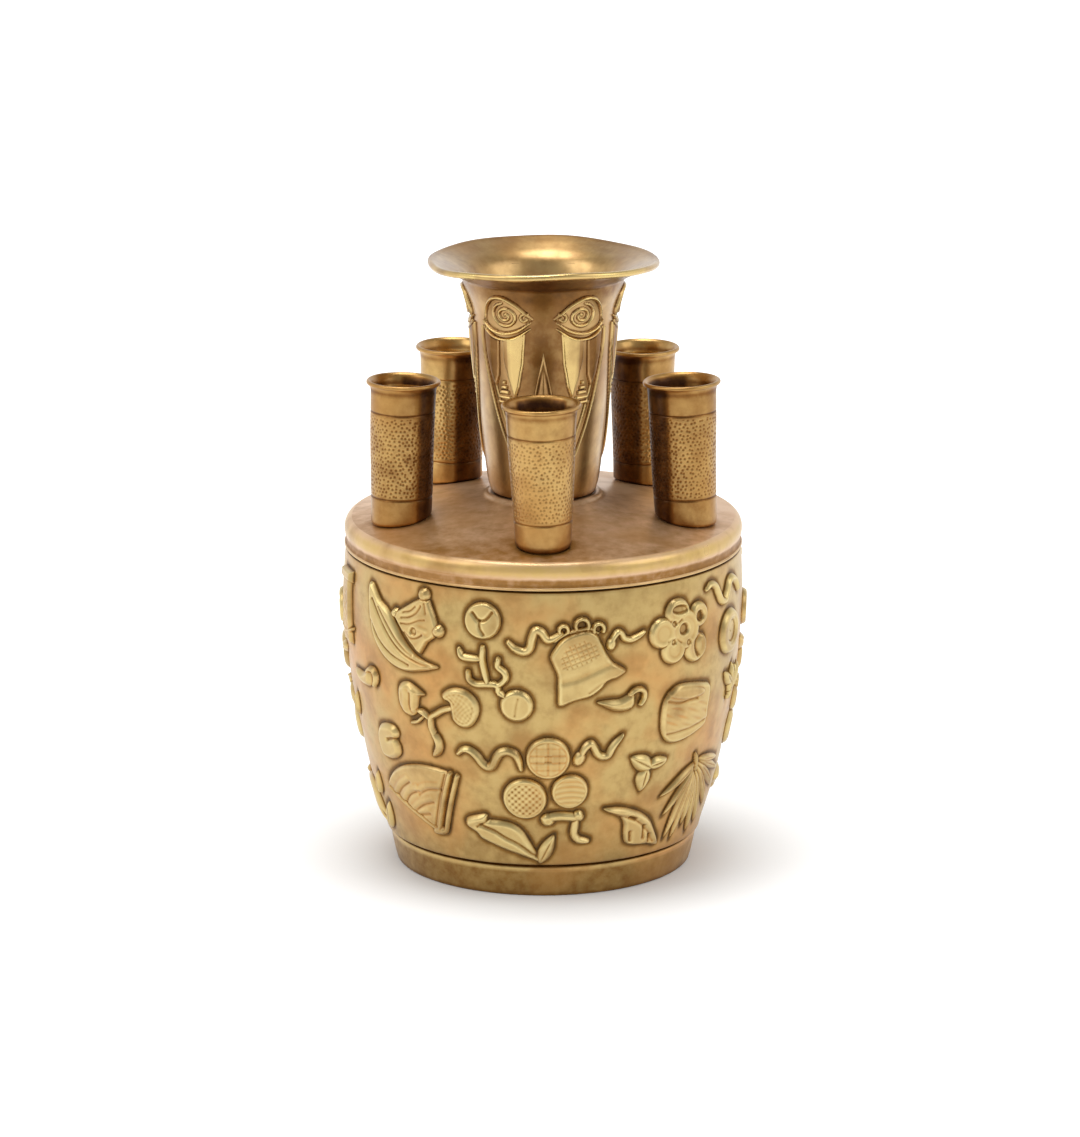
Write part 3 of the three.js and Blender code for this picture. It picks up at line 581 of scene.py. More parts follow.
def blossom(f):
    """Flower with five petals round a hollow eye; some petals curl to a raised rim."""
    petals = [(0, 0, 6.2), (-8, 0.2, 4.6), (-2.4, 5.2, 4.6), (6.2, 3.4, 3.9), (5.2, -6, 4.7), (-3.8, -5.2, 4.5)]
    d = np.minimum.reduce([to_disc(f.x, f.y, *petal) for petal in petals])
    f.h = rise(d, 1.3, 1.2) - 0.2 * ease((-d - 1.4) / 1.2)
    f.h = f.h - 0.9 * ease(0.3 - to_oval(f.x, f.y, -1.8, 6.3, 3.2, 1.5, -6) / 0.8)
    f.pit(6.2, 3, 1.94, 1.0, 0.8)
    f.pit(-0.3, 0.3, 2.14, 0.9, 0.8)
    f.cut([(7.4, -2), (5.4, -3.8), (5.1, -6.2), (6.2, -8.6)], 0.9, 0.9)
    f.cut([(-6.4, -2.4), (-3.6, -2.2), (-1.6, -3.4)], 0.25, 0.5)
    f.cut([(-5.4, 3.4), (-3, 2.4), (-1.4, 3.2)], 0.35, 0.5)
    for cx, cy in [(-4, 2.4), (-4.2, -3), (1.7, -4)]:
        f.pit(cx, cy, 1.2, 0.55, 0.6)


def drum(f):
    d = f.shape([(-5, 9.2), (0, 8.8), (5, 7.8), (8.6, 6.2), (8.6, 0), (8.4, -5.4), (3, -7.8), (-3, -8.9),
                 (-7.6, -8.2), (-10.2, -5), (-10.9, 0), (-10.4, 4.6), (-8.4, 7.6)], 1.1, 1.0)
    f.h = f.h + 0.35 * ease(-to_oval(f.x, f.y, -2, 6.2, 7.4, 2.0, -7) / 0.8)
    f.cut([(-9, 4.6), (-5, 3.5), (-1, 3.6), (2.4, 3.5)], 0.55, 0.5)
    f.cut([(-8.6, -5.4), (-4, -5.4), (2, -5), (7.8, -4)], 0.3, 0.5)
    side = ease((-d - 1) / 0.8) * ease((3 - f.y) / 0.8) * ease((f.y + 5) / 0.8)
    grain = (1 + np.sin(2.6 * f.y + 0.7 * f.x)) * (0.6 + 0.4 * np.sin(1.2 * f.x + f.y))
    f.h = f.h - side * 0.09 * grain


def shell(f):
    """Arched wing with dark slots between its folds."""
    f.shape([(-10.6, 8), (-6, 8), (-2, 6.8), (2, 4.8), (5.2, 2.2), (7.4, -1), (10.2, -5.8), (9.4, -7), (6, -6),
             (2.4, -5.6), (0, -5.2), (-2.4, -4), (-3.4, -1), (-3.8, 2), (-5, 4.4), (-7.6, 6)], 1.1, 1.0)
    f.cut([(-9, 7.2), (-5, 6.4), (-1, 5), (2.4, 2.8), (5.6, -0.6), (8.4, -4.8)], -0.3, 0.7)
    f.cut([(-5, 5), (-1.4, 3.8), (2, 1.4), (5, -1.8), (7.2, -5)], 0.3, 0.45)
    for slot in ([(-2.2, 4.4), (-0.4, 3.6)], [(3.1, 0.7), (3.5, -3.2)], [(-1.5, -0.6), (-1.1, -3.4)],
                 [(5.6, -2.6), (6, -5)]):
        f.cut(slot, 0.8, 0.6, 1)


def trefoil(f):
    f.leaf((1.2, 0.4), (-6.2, 4.9), 5.2, 1.4, 0.45)
    f.leaf((-0.4, 1.2), (7, 2.4), 4.0, 1.4, 0.3)
    f.leaf((-0.6, 1), (-1.9, -6.9), 5.0, 1.4, 0.3)


def bamboo(f):
    """Clump of long narrow leaves."""
    f.strip([(-2.4, 11.4), (-1.6, 9), (-1, 6)], 1.5, 1.0)
    for base, tip, width in [((-2, 8.6), (-15.4, 0.4), 2.6), ((-2, 7.6), (-12.6, -6.4), 2.2),
                             ((-3, 6.6), (-9.6, -14.4), 2.4), ((-2, 6), (-6, -15.2), 2.4),
                             ((-1.6, 6), (-1.4, -12), 2.6), ((-0.8, 5), (3, -15), 2.6),
                             ((-0.4, 6), (7.4, -13), 2.6), ((0, 7), (12, -8.4), 2.8), ((0, 8), (15.6, -3.6), 2.8),
                             ((0.4, 8.6), (17.6, 1.6), 2.6), ((0, 9.2), (13.4, 6.6), 2.4)]:
        f.leaf(base, tip, width, 1.2)


def sprig(f):
    f.strip([(-3.6, -6.4), (-2, -1), (0, 3)], 1.2)
    f.leaf((-3, -5), (-3.4, 5), 4)
    f.leaf((-2.6, -4), (5.6, 3), 3.8)
    f.leaf((-3, -2), (-9, 3), 3.4)


def zigzag(f):
    f.strip([(-10.6, 0.4), (-8.4, 1.4), (-6, 0.6), (-4.6, -1.6), (-3, -4.2), (-0.8, -5), (1, -3.2), (2.8, -0.4),
             (5, 0.4), (7.8, -0.8), (10.4, -4.2)], 2.7, 1.2)


def scroll_case(f):
    f.add(rise(np.maximum(np.abs(f.x) - 3.6, np.abs(f.y) - 11), 1.2, 1.2))
    f.h = f.h - lattice(f.x, f.y, 2.6, 45, 0.18) * ease((2.6 - np.abs(f.x)) / 0.5) * ease((6 - f.y) / 0.5)
    f.add(rise(np.maximum(np.abs(f.x) - 5, np.abs(f.y - 9.4) - 1.7), 1.5, 0.8))
    f.strip([(-5, -6), (0, -7.4), (5, -6)], 1.4)


def gourd(f):
    lower = f.disc(0, -4.4, 5.6, 1.4, 1.8)
    upper = f.disc(0.4, 4, 4, 1.4, 1.6)
    f.h = f.h - groove(lower + 1.6, 0.25, 0.34) - groove(upper + 1.4, 0.25, 0.3)
    f.strip([(0.4, 7), (1, 9.4), (4, 10.6)], 1.5)


# Figure, its half-size across and up, azimuth in degrees, height of its centre. The same
# half is cast on the front and on the back.
HALF_WALL = [
    (scroll_case, 7, 13, -75, 80), (horn, 17, 14.5, -46, 77), (book, 12, 12, -38, 83),
    (curl_disc, 7, 7, -17.2, 86.2), (cord_left, 11, 6, -3, 80.5), (bag, 14.5, 15, 12.5, 74),
    (cord_right, 8, 5.5, 24, 80.6), (blossom, 13.5, 13.5, 43.2, 80.1), (zigzag, 13, 8.5, 64, 89.4),
    (hoop, 9, 9.5, 67, 74.3), (curl_disc, 7, 7, 89, 76), (comma, 10.5, 6, -64, 61.6),
    (fungus, 18.5, 16, -35, 56), (coral, 10.5, 9, -16, 71), (split_disc, 7.5, 6.5, -7.7, 61),
    (comma, 10.5, 6, 23, 61.5), (drum, 13, 12, 47.8, 54.5), (sprig, 11, 9, 75, 59), (gourd, 8, 13, 87, 44.5),
    (trefoil, 9.5, 9, 91, 63), (single_leaf, 4, 6, -76, 50), (bean, 9, 9, -55, 43.4),
    (ribbon_left, 12.5, 6, -17, 44), (coin, 8.5, 8.5, 1.4, 45.1), (ribbon_right, 10, 7.5, 17, 46.5),
    (trefoil, 9.5, 9, 33.9, 38.7), (fan, 23.5, 24, -37.6, 18.7), (woven_disc, 8, 8, -5.8, 32.2),
    (lined_disc, 7.5, 7.5, 8.2, 34.2), (tail, 10.5, 8, 7, 23), (pod, 17.5, 9.5, -14, 18.5),
    (shell, 13, 10.5, 32, 20), (bamboo, 19.5, 17.5, 58, 28), (pod, 17.5, 9.5, 97, 20),
    (single_leaf, 4, 6, -70, 27),
]


def placed_emblems():
    for half in (0, 180):
        for *figure, azimuth, height in HALF_WALL:
            yield *figure, math.radians(azimuth + half), height


# Mesh helpers

def mesh_object(name, bm):
    mesh = bpy.data.meshes.new(name)
    bm.to_mesh(mesh)
    bm.free()
    return put_in_scene(name, mesh)


def finish_mesh(name, bm):
    """A bmesh in millimetres becomes a named object in metres, shaded smooth."""
    bmesh.ops.remove_doubles(bm, verts=bm.verts, dist=WELD)
    bmesh.ops.recalc_face_normals(bm, faces=bm.faces)
    bmesh.ops.scale(bm, vec=(MM, MM, MM), verts=bm.verts)
    piece = mesh_object(name, bm)
    piece.data.shade_smooth()
    return piece


def set_tone(piece, tone):
    count = len(piece.data.vertices)
    attribute = piece.data.attributes.new("tone", "FLOAT", "POINT")
    attribute.data.foreach_set("value", np.broadcast_to(np.clip(tone, 0, 1), count).astype(np.float32))


def points_of(piece):
    """The piece's points in millimetres, and their radius, azimuth and height."""
    co = np.zeros(len(piece.data.vertices) * 3)
    piece.data.vertices.foreach_get("co", co)
    p = co.reshape(-1, 3) / MM
    return p, np.hypot(p[:, 0], p[:, 1]), np.arctan2(p[:, 0], -p[:, 1]), p[:, 2].copy()


def move_points(piece, points):
    piece.data.vertices.foreach_set("co", (points * MM).ravel())
    piece.data.update()


def line_of(radius, heights, inset=0):
    """Profile points (r, z) of a turned surface, or of one some way inside it."""
    return [(float(radius(z)) - inset, z) for z in heights]


SLICES = 8


def turned(name, profile, facets, closed=True):
    """A profile of (r, z) points turned round the Z axis, closed on itself or at the axis."""
    bm = bmesh.new()
    ring = [bm.verts.new((0, -r, z)) for r, z in profile]
    for a, b in zip(ring, ring[1:] + ring[:1] if closed else ring[1:]):
        bm.edges.new((a, b))
    about = {"cent": (0, 0, 0), "axis": (0, 0, 1), "dvec": (0, 0, 0)}
    slice_angle = FULL_TURN / SLICES
    bmesh.ops.spin(bm, geom=bm.verts[:] + bm.edges[:], angle=slice_angle, steps=facets // SLICES, **about)
    bmesh.ops.spin(bm, geom=bm.verts[:] + bm.edges[:] + bm.faces[:], angle=FULL_TURN - slice_angle,
                   steps=SLICES - 1, use_duplicate=True, **about)
    return finish_mesh(name, bm)


def rub(height, step):
    """Tone of a raised figure: crests rubbed bright, chased lines and the outline dark."""
    reach = max(1, round(CREST_REACH / step))
    around = sum(np.roll(height, move, axis) for move in (-reach, reach) for axis in (0, 1)) / 4
    crest = np.clip((height - around) / CREST_FULL, -1, 1)
    top = 0.58 + np.where(crest > 0, 0.3, 0.36) * crest
    return top * ease((height + 0.2) / 0.7) + 0.06


def raised_grid(bm, tone, figure, half_width, half_height, step, shift):
    columns, rows = round(2 * half_width / step), round(2 * half_height / step)
    made = bmesh.ops.create_grid(bm, x_segments=columns, y_segments=rows, size=1,
                                 matrix=Matrix.Diagonal((half_width, half_height, 1, 1)))["verts"]
    across, up = np.meshgrid(np.linspace(-half_width, half_width, columns + 1),
                             np.linspace(-half_height, half_height, rows + 1))
    height = Relief(figure, across, up).h
    rubbed = np.clip(rub(height, step) + (shift(across, up) if shift else 0), 0, 1)
    for v in made:
        cell = (round((v.co.y / half_height + 1) * rows / 2), round((v.co.x / half_width + 1) * columns / 2))
        v.co.z, v[tone] = height[cell], rubbed[cell]
    return made


def touches_at_corner(v):
    """Whether two faces meet in this point without sharing an edge."""
    return len(v.link_faces) == 2 and not set(v.link_faces[0].edges) & set(v.link_faces[1].edges)


def trimmed(bm, made):
    """Takes away the faces well below the surface, and those left hanging by a corner."""
    low = [f for f in {f for v in made for f in v.link_faces} if max(v.co.z for v in f.verts) < -TRIM]
    while low:
        bmesh.ops.delete(bm, geom=low, context="FACES")
        made = [v for v in made if v.is_valid]
        low = [v.link_faces[0] for v in made if touches_at_corner(v)]
    bmesh.ops.delete(bm, geom=[v for v in made if not v.link_faces], context="VERTS")
    return [v for v in made if v.is_valid]


def close_back(bm, made, place):
    """Makes a raised sheet solid: the sheet becomes its back in the metal, a copy its front."""
    faces = list({f for v in made for f in v.link_faces})
    raised = bmesh.ops.extrude_face_region(bm, geom=faces, use_keep_orig=True)["geom"]
    raised = [v for v in raised if isinstance(v, bmesh.types.BMVert)]
    for sheet, lowest, highest in ((made, -ROOT, -ROOT), (raised, THINNEST - ROOT, None)):
        x, y, height = np.array([v.co[:] for v in sheet]).T
        for v, p in zip(sheet, place(x, y, np.clip(height, lowest, highest))):
            v.co = p


def relief_piece(name, figures, step, shift=None):
    """A piece of figures: each comes with its half-sizes and what lays its points on the metal."""
    bm = bmesh.new()
    tone = bm.verts.layers.float.new("tone")
    for figure, half_width, half_height, place in figures:
        made = raised_grid(bm, tone, figure, half_width, half_height, step, shift)
        close_back(bm, trimmed(bm, made), place)
    return finish_mesh(name, bm)


# Body

def body_profile():
    groove_radius = FOOT_TOP_RADIUS - FOOT_GROOVE_DEPTH
    foot = [(FOOT_RADIUS - 0.6, 0), (FOOT_RADIUS - 0.15, 0.2), (FOOT_RADIUS, 0.7)]
    foot += [(FOOT_RADIUS + (FOOT_TOP_RADIUS - FOOT_RADIUS) * t ** 0.85, 0.7 + 7.7 * t) for t in spread(0.1, 1, 8)]
    foot += [(FOOT_TOP_RADIUS + 0.05, 8.9), (FOOT_TOP_RADIUS - 0.15, 9.25), (FOOT_TOP_RADIUS - 0.5, FOOT_HEIGHT),
             (groove_radius, FOOT_HEIGHT + 0.1), (groove_radius - 0.1, FOOT_HEIGHT + 0.35),
             (groove_radius, WALL_START - 0.1), (WALL_FOOT_RADIUS - 0.45, WALL_START + 0.02)]
    wall = line_of(wall_radius, spread(WALL_START + 0.3, WALL_TOP_HEIGHT - 0.5, WALL_ROWS))
    top = [(WALL_TOP_RADIUS - 0.1, WALL_TOP_HEIGHT - 0.2), (WALL_TOP_RADIUS - 0.4, WALL_TOP_HEIGHT)]
    inner = line_of(wall_radius, spread(WALL_TOP_HEIGHT, WALL_START + FLOOR_FILLET, 8), WALL_THICKNESS)
    return foot + wall + top + inner + [(LEDGE_RADIUS, LEDGE_TOP), (LEDGE_RADIUS, BASE_RECESS),
                                        (FOOT_BORE, BASE_RECESS), (FOOT_BORE, 0.4), (FOOT_BORE + 0.4, 0)]


def emblem_patina_and_painted_shade(azimuth, z):
    """Painted shade on the wall round the emblems, and how near their outline each point is. The dark outline beside
    each emblem is part patina in the joint and part painted shade; the extra dark above each is painted shade.
    """
    patina_and_painted_shade, foot = np.zeros((2,) + azimuth.shape)
    for figure, half_width, half_height, middle, height in placed_emblems():
        x = ((azimuth - middle + math.pi) % FULL_TURN - math.pi) * float(wall_radius(height))
        y = z - height
        near = (np.abs(x) < half_width + SHADE_REACH) & (np.abs(y) < half_height + SHADE_REACH)
        if near.any():
            beside, above = (groove(np.maximum(-Relief(figure, x[near], y[near] - drop).h / FALL, 0), 1, width)
                             for drop, width in ((0, 0.95), (SHADE_DROP, 0.9)))
            patina_and_painted_shade[near] = np.maximum(patina_and_painted_shade[near], SHADE_BESIDE * beside + SHADE_ABOVE * above)
            foot[near] = np.maximum(foot[near], beside)
    return patina_and_painted_shade, foot


def vase_body():
    piece = turned("vase_body", body_profile(), BODY_FACETS)
    p, radius, azimuth, z = points_of(piece)
    outside = (z > WALL_START) & (z < WALL_TOP_HEIGHT) & (radius > wall_radius(z) - 0.6)
    patina_and_painted_shade, foot = emblem_patina_and_painted_shade(azimuth, z)
    push = np.where(outside, uneven_wall(azimuth, z) - OUTLINE_DIP * foot, 0)
    p[:, :2] *= ((radius + push) / radius)[:, None]
    move_points(piece, p)
    # The wall takes the patina and painted shade round the emblems, and is painted darker towards the bottom as a
    # reflection of the shaded table near the foot.
    tone = np.where(outside, 0.5 - patina_and_painted_shade - 0.1 * ease((44 - z) / 34), INNER_TONE)
    seam = (z > WALL_TOP_HEIGHT - 0.3) | (np.abs(z - FOOT_HEIGHT - 0.35) < 0.4)
    outer = radius > FOOT_BORE + 1
    tone = np.where(seam & outer, SEAM_TONE, tone)
    # The foot band: a painted highlight along its top edge, a dark tone that in part stands for the shaded table it
    # reflects, and darker still at the very bottom.
    foot_painted_light = 0.32 + 0.2 * ease((z - FOOT_HEIGHT + 1.9) / 0.9) - 0.1 * ease((1.6 - z) / 1.4)
    set_tone(piece, np.where((z < FOOT_HEIGHT - 0.2) & outer, foot_painted_light, tone))
    return piece


def on_wall(middle, height):
    """Lays an emblem's points on the wall, round its centre."""
    around = float(wall_radius(height))

    def place(x, y, h):
        azimuth, z = middle + x / around, height + y
        return lay_on(wall_radius, azimuth, z, h, uneven_wall(azimuth, z))
    return place


def cast_emblems():
    """The emblems in groups, one group for each sixth of the wall."""
    groups = [[] for _ in range(EMBLEM_GROUPS)]
    for *figure, middle, height in placed_emblems():
        group = round(middle / (FULL_TURN / EMBLEM_GROUPS)) % EMBLEM_GROUPS
        groups[group].append((*figure, on_wall(middle, height)))
    return [relief_piece(f"cast_emblems_{i + 1}", group, EMBLEM_STEP) for i, group in enumerate(groups)]


def base_disc():
    top = BASE_RECESS - CLEARANCE
    radius = FOOT_BORE - CLEARANCE
    bottom = top - BASE_THICKNESS
    rings = [(r, bottom + BASE_RIPPLE * math.sin(r * 1.7)) for r in spread(0, radius - 0.8, 60)]
    rings += [(radius - 0.3, bottom + 0.1), (radius, bottom + 0.4), (radius, top), (0, top)]
    piece = turned("base_disc", rings, BASE_FACETS, False)
    set_tone(piece, BASE_TONE)
    return piece


# Shoulder

def shoulder_profile():
    skirt_bore = SKIRT_RADIUS - SKIRT_WALL
    skirt_bottom = WALL_TOP_HEIGHT - SKIRT_DEPTH
    plate_bottom = WALL_TOP_HEIGHT + CLEARANCE
    hole = NECK_SPIGOT_RADIUS + CLEARANCE
    collar_top = NECK_SEAT - CLEARANCE
    ledge = arc(WALL_TOP_RADIUS - 0.1, plate_bottom + 0.45, 0.45, 0.4, -90, 70, 8)
    cove = smooth([(WALL_TOP_RADIUS + 0.15, plate_bottom + 0.95), (COVE_RADIUS, plate_bottom + 1.5),
                   (COVE_RADIUS + 0.05, plate_bottom + 2.4), (COVE_RADIUS + 0.35, plate_bottom + 3.4)], 4)
    bead = arc(DOME_RADIUS, SHOULDER_EDGE - BEAD_HALF_HEIGHT, BEAD_HALF_WIDTH, BEAD_HALF_HEIGHT, -18, 86, 20)
    dome = [(r, float(shoulder_height(r))) for r in spread(DOME_RADIUS - 0.5, COLLAR_RADIUS + 0.9, DOME_ROWS)]
    collar_foot = float(shoulder_height(COLLAR_RADIUS))
    collar = [(COLLAR_RADIUS + 0.1, collar_foot + 0.05), (COLLAR_RADIUS - 0.15, collar_foot + 0.35),
              (COLLAR_RADIUS - 0.7, collar_top), (hole, collar_top)]
    under = [(r, float(shoulder_height(r)) - SHOULDER_THICKNESS) for r in spread(hole, skirt_bore, 8)]
    return ([(SKIRT_RADIUS, skirt_bottom), (SKIRT_RADIUS, plate_bottom)] + ledge + cove + bead + dome + collar
            + under + [(skirt_bore, skirt_bottom)])


def tube_place(tube):
    """Where a tube stands: foot centre on the shoulder, turned to its azimuth and leaned."""
    seat = float(shoulder_height(TUBE_CIRCLE_RADIUS)) + CLEARANCE
    return (Matrix.Rotation(math.radians(tube["azimuth"]), 4, "Z")
            @ Matrix.Translation((0, -TUBE_CIRCLE_RADIUS, seat))
            @ Matrix.Rotation(math.radians(-tube["inward"]), 4, "X")
            @ Matrix.Rotation(math.radians(tube["sideways"]), 4, "Y"))


def drill_holes(piece):
    """Cuts the tubes' holes right through the shoulder."""
    bm = bmesh.new()
    for tube in TUBES:
        hole = TENON_RADIUS + CLEARANCE
        made = bmesh.ops.create_cone(bm, cap_ends=True, segments=DRILL_FACETS, radius1=hole, radius2=hole,
                                     depth=4 * SHOULDER_RISE)
        bmesh.ops.transform(bm, matrix=tube_place(tube), verts=made["verts"])
    drill = finish_mesh("drill", bm)
    cut = piece.modifiers.new("holes", "BOOLEAN")
    cut.operation = "DIFFERENCE"
    cut.solver = "EXACT"
    cut.object = drill
    seen = piece.evaluated_get(bpy.context.evaluated_depsgraph_get())
    mesh = bpy.data.meshes.new_from_object(seen)
    piece.modifiers.clear()
    piece.data = mesh
    mesh.shade_smooth()
    bpy.data.objects.remove(drill)


def shoulder():
    piece = turned("domed_shoulder", shoulder_profile(), SHOULDER_FACETS)
    drill_holes(piece)
    p, radius, _, z = points_of(piece)
    above_seam = z - WALL_TOP_HEIGHT - CLEARANCE
    # Painted light on the bead: lighter on its upper part, darker on its lower part and toned down at its very top;
    # the ledge under it carries a painted highlight.
    bead = 0.26 + 0.68 * ease((above_seam - 2.6) / 2.4) - 0.3 * ease((above_seam - 6.4) / 1.6)
    bead = np.where(above_seam < 0.95, 0.8, bead)
    # The plate is painted lighter towards the back and the right and darker along its front edge: painted light.
    plate = 0.36 + 0.12 * ease((p[:, 1] + 25) / 50) + 0.08 * ease((p[:, 0] + 40) / 80)
    plate = plate - 0.08 * ease((-p[:, 1] - 34) / 14)
    tone = np.where(radius > DOME_RADIUS + 0.2, bead, plate)
    tone = np.where(above_seam < 0.12, 0.1, tone)
    # Painted shade on the plate round the foot of each tube.
    for tube in TUBES:
        foot = tube_place(tube).to_translation()
        away = to_disc(p[:, 0], p[:, 1], foot.x, foot.y, TUBE_FOOT_RADIUS * tube["foot"])
        tone = tone - groove(np.maximum(away, 0), 0.1, 1.3) * (radius < DOME_RADIUS)
    set_tone(piece, np.where(radius < COLLAR_RADIUS + 1, INNER_TONE, tone))
    return piece


# Neck

def neck_profile():
    """The neck's outline. Heights are over its seat, apart from the wall's and the spigot's."""
    lip_radius, lip_height = NECK_STATIONS[-1]
    spigot_bore = NECK_SPIGOT_RADIUS - NECK_SPIGOT_WALL
    rim_height = lip_height + MOUTH_RISE - MOUTH_RIM / 2
    rim_radius = MOUTH_RADIUS - MOUTH_RIM / 2
    lip = smooth([(lip_radius, lip_height), (28.4, 66), (rim_radius - 0.2, rim_height - 0.7)], 6)
    rim = arc(rim_radius, rim_height, MOUTH_RIM / 2, MOUTH_RIM / 2, -60, 110, 10)
    dish = smooth([(rim_radius - 1.1, rim_height + 0.6), (28.4, 67.2), (24.6, 65.2), (22.2, 62.4), (20.4, 57),
                   (19.3, 50)], 6)
    mouth = [(r, NECK_SEAT + z) for r, z in lip[1:] + rim + dish]
    foot = [(NECK_SPIGOT_RADIUS, NECK_SPIGOT_BOTTOM), (NECK_SPIGOT_RADIUS, NECK_SEAT),
            (NECK_BASE_RADIUS - 0.3, NECK_SEAT), (NECK_BASE_RADIUS, NECK_SEAT + 0.2)]
    outer = line_of(neck_radius, spread(NECK_SEAT + 0.4, NECK_SEAT + 63.9, NECK_ROWS))
    bore = line_of(neck_radius, spread(NECK_SEAT + 47, NECK_SEAT + 1, 14), NECK_WALL)
    return foot + outer + mouth + bore + [(spigot_bore, NECK_SEAT), (spigot_bore, NECK_SPIGOT_BOTTOM)]


def faces_out(piece, azimuth):
    """Which points of a turned piece face away from its axis."""
    normal = np.zeros(len(azimuth) * 3)
    piece.data.vertices.foreach_get("normal", normal)
    normal = normal.reshape(-1, 3)
    return normal[:, 0] * np.sin(azimuth) - normal[:, 1] * np.cos(azimuth) > 0


def trumpet_neck():
    piece = turned("trumpet_neck", neck_profile(), NECK_FACETS)
    p, radius, azimuth, z = points_of(piece)
    height = z - NECK_SEAT
    weight = ease((radius - 24) / 9.5) * (height > 60)
    wave = 0.3 * np.sin(2 * azimuth + 0.6) + 0.22 * np.sin(3 * azimuth - 1.1) + 0.12 * np.sin(7 * azimuth)
    p[:, 2] += weight * (wave + MOUTH_LIFT * ease((1.3 - np.abs(azimuth)) / 1.2))
    p[:, :2] *= (1 + weight * 0.006 * np.sin(3 * azimuth + 2))[:, None]
    move_points(piece, p)
    outer = faces_out(piece, azimuth)
    between = np.abs((azimuth * LAPPETS + math.pi) % FULL_TURN - math.pi) / LAPPETS
    # Painted reflection: the neck's ground behind each leaf is darker, as if it mirrored the dark tubes.
    ground = ease((0.62 - between) / 0.3) * ease((height - 22) / 8)
    # Painted shadow under the mouth's lip.
    painted_shadow_under_lip = ease((height - 57) / 5) * ease((31.5 - radius) / 3)
    tone = np.where(outer, 0.46 - 0.17 * ground, 0.34)
    tone = np.where(outer & (height > 50), tone * (1 - 0.34 * painted_shadow_under_lip), tone)
    # Inside the mouth, a painted reflection keeps the throat lighter, and painted shade darkens the dish towards its
    # rim, more at the back.
    behind = ease((np.abs(azimuth) - 1.7) / 0.8)
    dish_painted_light = 0.5 - 0.07 * ease((radius - 20) / 4) - 0.04 * behind * ease((radius - 28) / 4)
    tone = np.where(~outer & (height > 45), dish_painted_light, tone)
    # Painted highlight on the mouth's rim: lighter at the front, a little darker at the back and sides.
    front_rim_painted_highlight = ease((1.7 - np.abs(azimuth)) / 1.2)
    tone = tone + (0.5 * front_rim_painted_highlight - 0.06) * ease(radius - 31)
    set_tone(piece, tone - groove(height, 0.2, 1.2))
    return piece


MAIN_BLADE = [(5.0, 13), (8.4, 10.9), (12.6, 9.9), (12.5, 4), (11, -2), (9.4, -6.4), (8.6, -7.6), (7.2, -4), (5.8, 3)]
SIDE_BLADE = [(13.4, 10), (19.4, 12.4), (19, 5), (17.6, -1), (15.6, -5), (14, -1)]
LAPPET_EDGE = smooth([(20.4, 12.4), (20.2, 6), (19, -1), (16.8, -10), (13.8, -19), (9.4, -28), (0, -37)], 4)


def spiral(x, y, start, pitch, turns, lean):
    """Points of a spiral that opens outwards from its eye at (x, y)."""
    line = []
    for t in spread(0, FULL_TURN * turns, round(16 * turns)):
        r = start + pitch * t / FULL_TURN
        line.append((x + r * math.cos(t + lean), y + 0.92 * r * math.sin(t + lean)))
    return line


def lappet_head(f):
    """Scroll eye with a small inner curl over a double arc."""
    crown = [(3.0, 16.4), (5.6, 18.6), (8, 20.8), (11, 22.4), (14, 22.2), (16.4, 20.2), (18, 17), (18.2, 14.4)]
    bowl = [(3.8, 15.2), (7.6, 12.6), (12, 11.5), (16, 12.2), (19.6, 14.6)]
    f.shape(crown + [(16, 12.6), (12, 11.8), (7.6, 13), (3.6, 15.4)], 0.4, 0.8, 3)
    f.strip(spiral(10.9, 17.1, 0.3, 1.9, 2.1, 0.8), 1.05, 1.2, 0.8, 1)
    f.strip(spiral(5.2, 16.6, 0.3, 1.5, 0.95, 2.4), 0.95, 1.1, 0.8, 1)
    f.strip(crown, 1.2, 1.1)
    f.strip(bowl, 1.15, 1.2)
    f.strip([(a, b - 1.75) for a, b in bowl], 1.05, 1.1)


def lappet_blades(f):
    """Hanging blades under a head, with a sharp ridge down each."""
    for blade, ridge, proud, ridge_proud, ridge_width in [
            (MAIN_BLADE, [(9.2, 11), (9.4, 2), (8.7, -7)], 0.9, 0.5, 3),
            (SIDE_BLADE, [(16.6, 10.6), (16.4, 2), (15.6, -4)], 0.6, 0.3, 2.2)]:
        d = to_outline(f.x, f.y, blade)
        away = to_line(f.x, f.y, ridge)[0]
        f.add(rise(d, proud, 0.6) + ridge_proud * np.clip(1 - away / ridge_width, 0, 1) * (d < 0))


def lappet_steps(f):
    """Small stepped triangle below the side blade."""
    for i, half in enumerate([3.0, 2.4, 1.8, 1.2, 0.7]):
        f.add(rise(np.maximum(np.abs(f.x - 12.6) - half, np.abs(f.y + 9.2 - 1.5 * i) - 0.62), 0.8, 0.5))


def lappet_spike(f):
    """Upright blade in the middle, ridged and rimmed."""
    d = to_outline(f.x, f.y, [(0, 6.2), (1.6, 0), (3.4, -8), (-3.4, -8), (-1.6, 0)])
    ridge = np.clip(1 - np.abs(f.x) / 1.2, 0, 1)
    f.add(rise(d, 0.35, 0.5) + (0.3 * ridge - groove(d + 1.1, 0.15, 0.35)) * (d < 0))


def lappet(f):
    """One long hanging leaf with its pair of scroll heads. Both sides mirror each other."""
    lappet_spike(f)
    f.x = np.abs(f.x)
    f.strip(LAPPET_EDGE, 1.1, 0.8, 1.0, 1)
    f.strip([(a - 2.1, b + 1.6) for a, b in LAPPET_EDGE[:-3]], 0.9, 0.6, 1.0, 1)
    f.strip([(3.4, -11), (2.4, -20), (0, -30)], 1.0, 0.6)
    lappet_head(f)
    lappet_blades(f)
    lappet_steps(f)


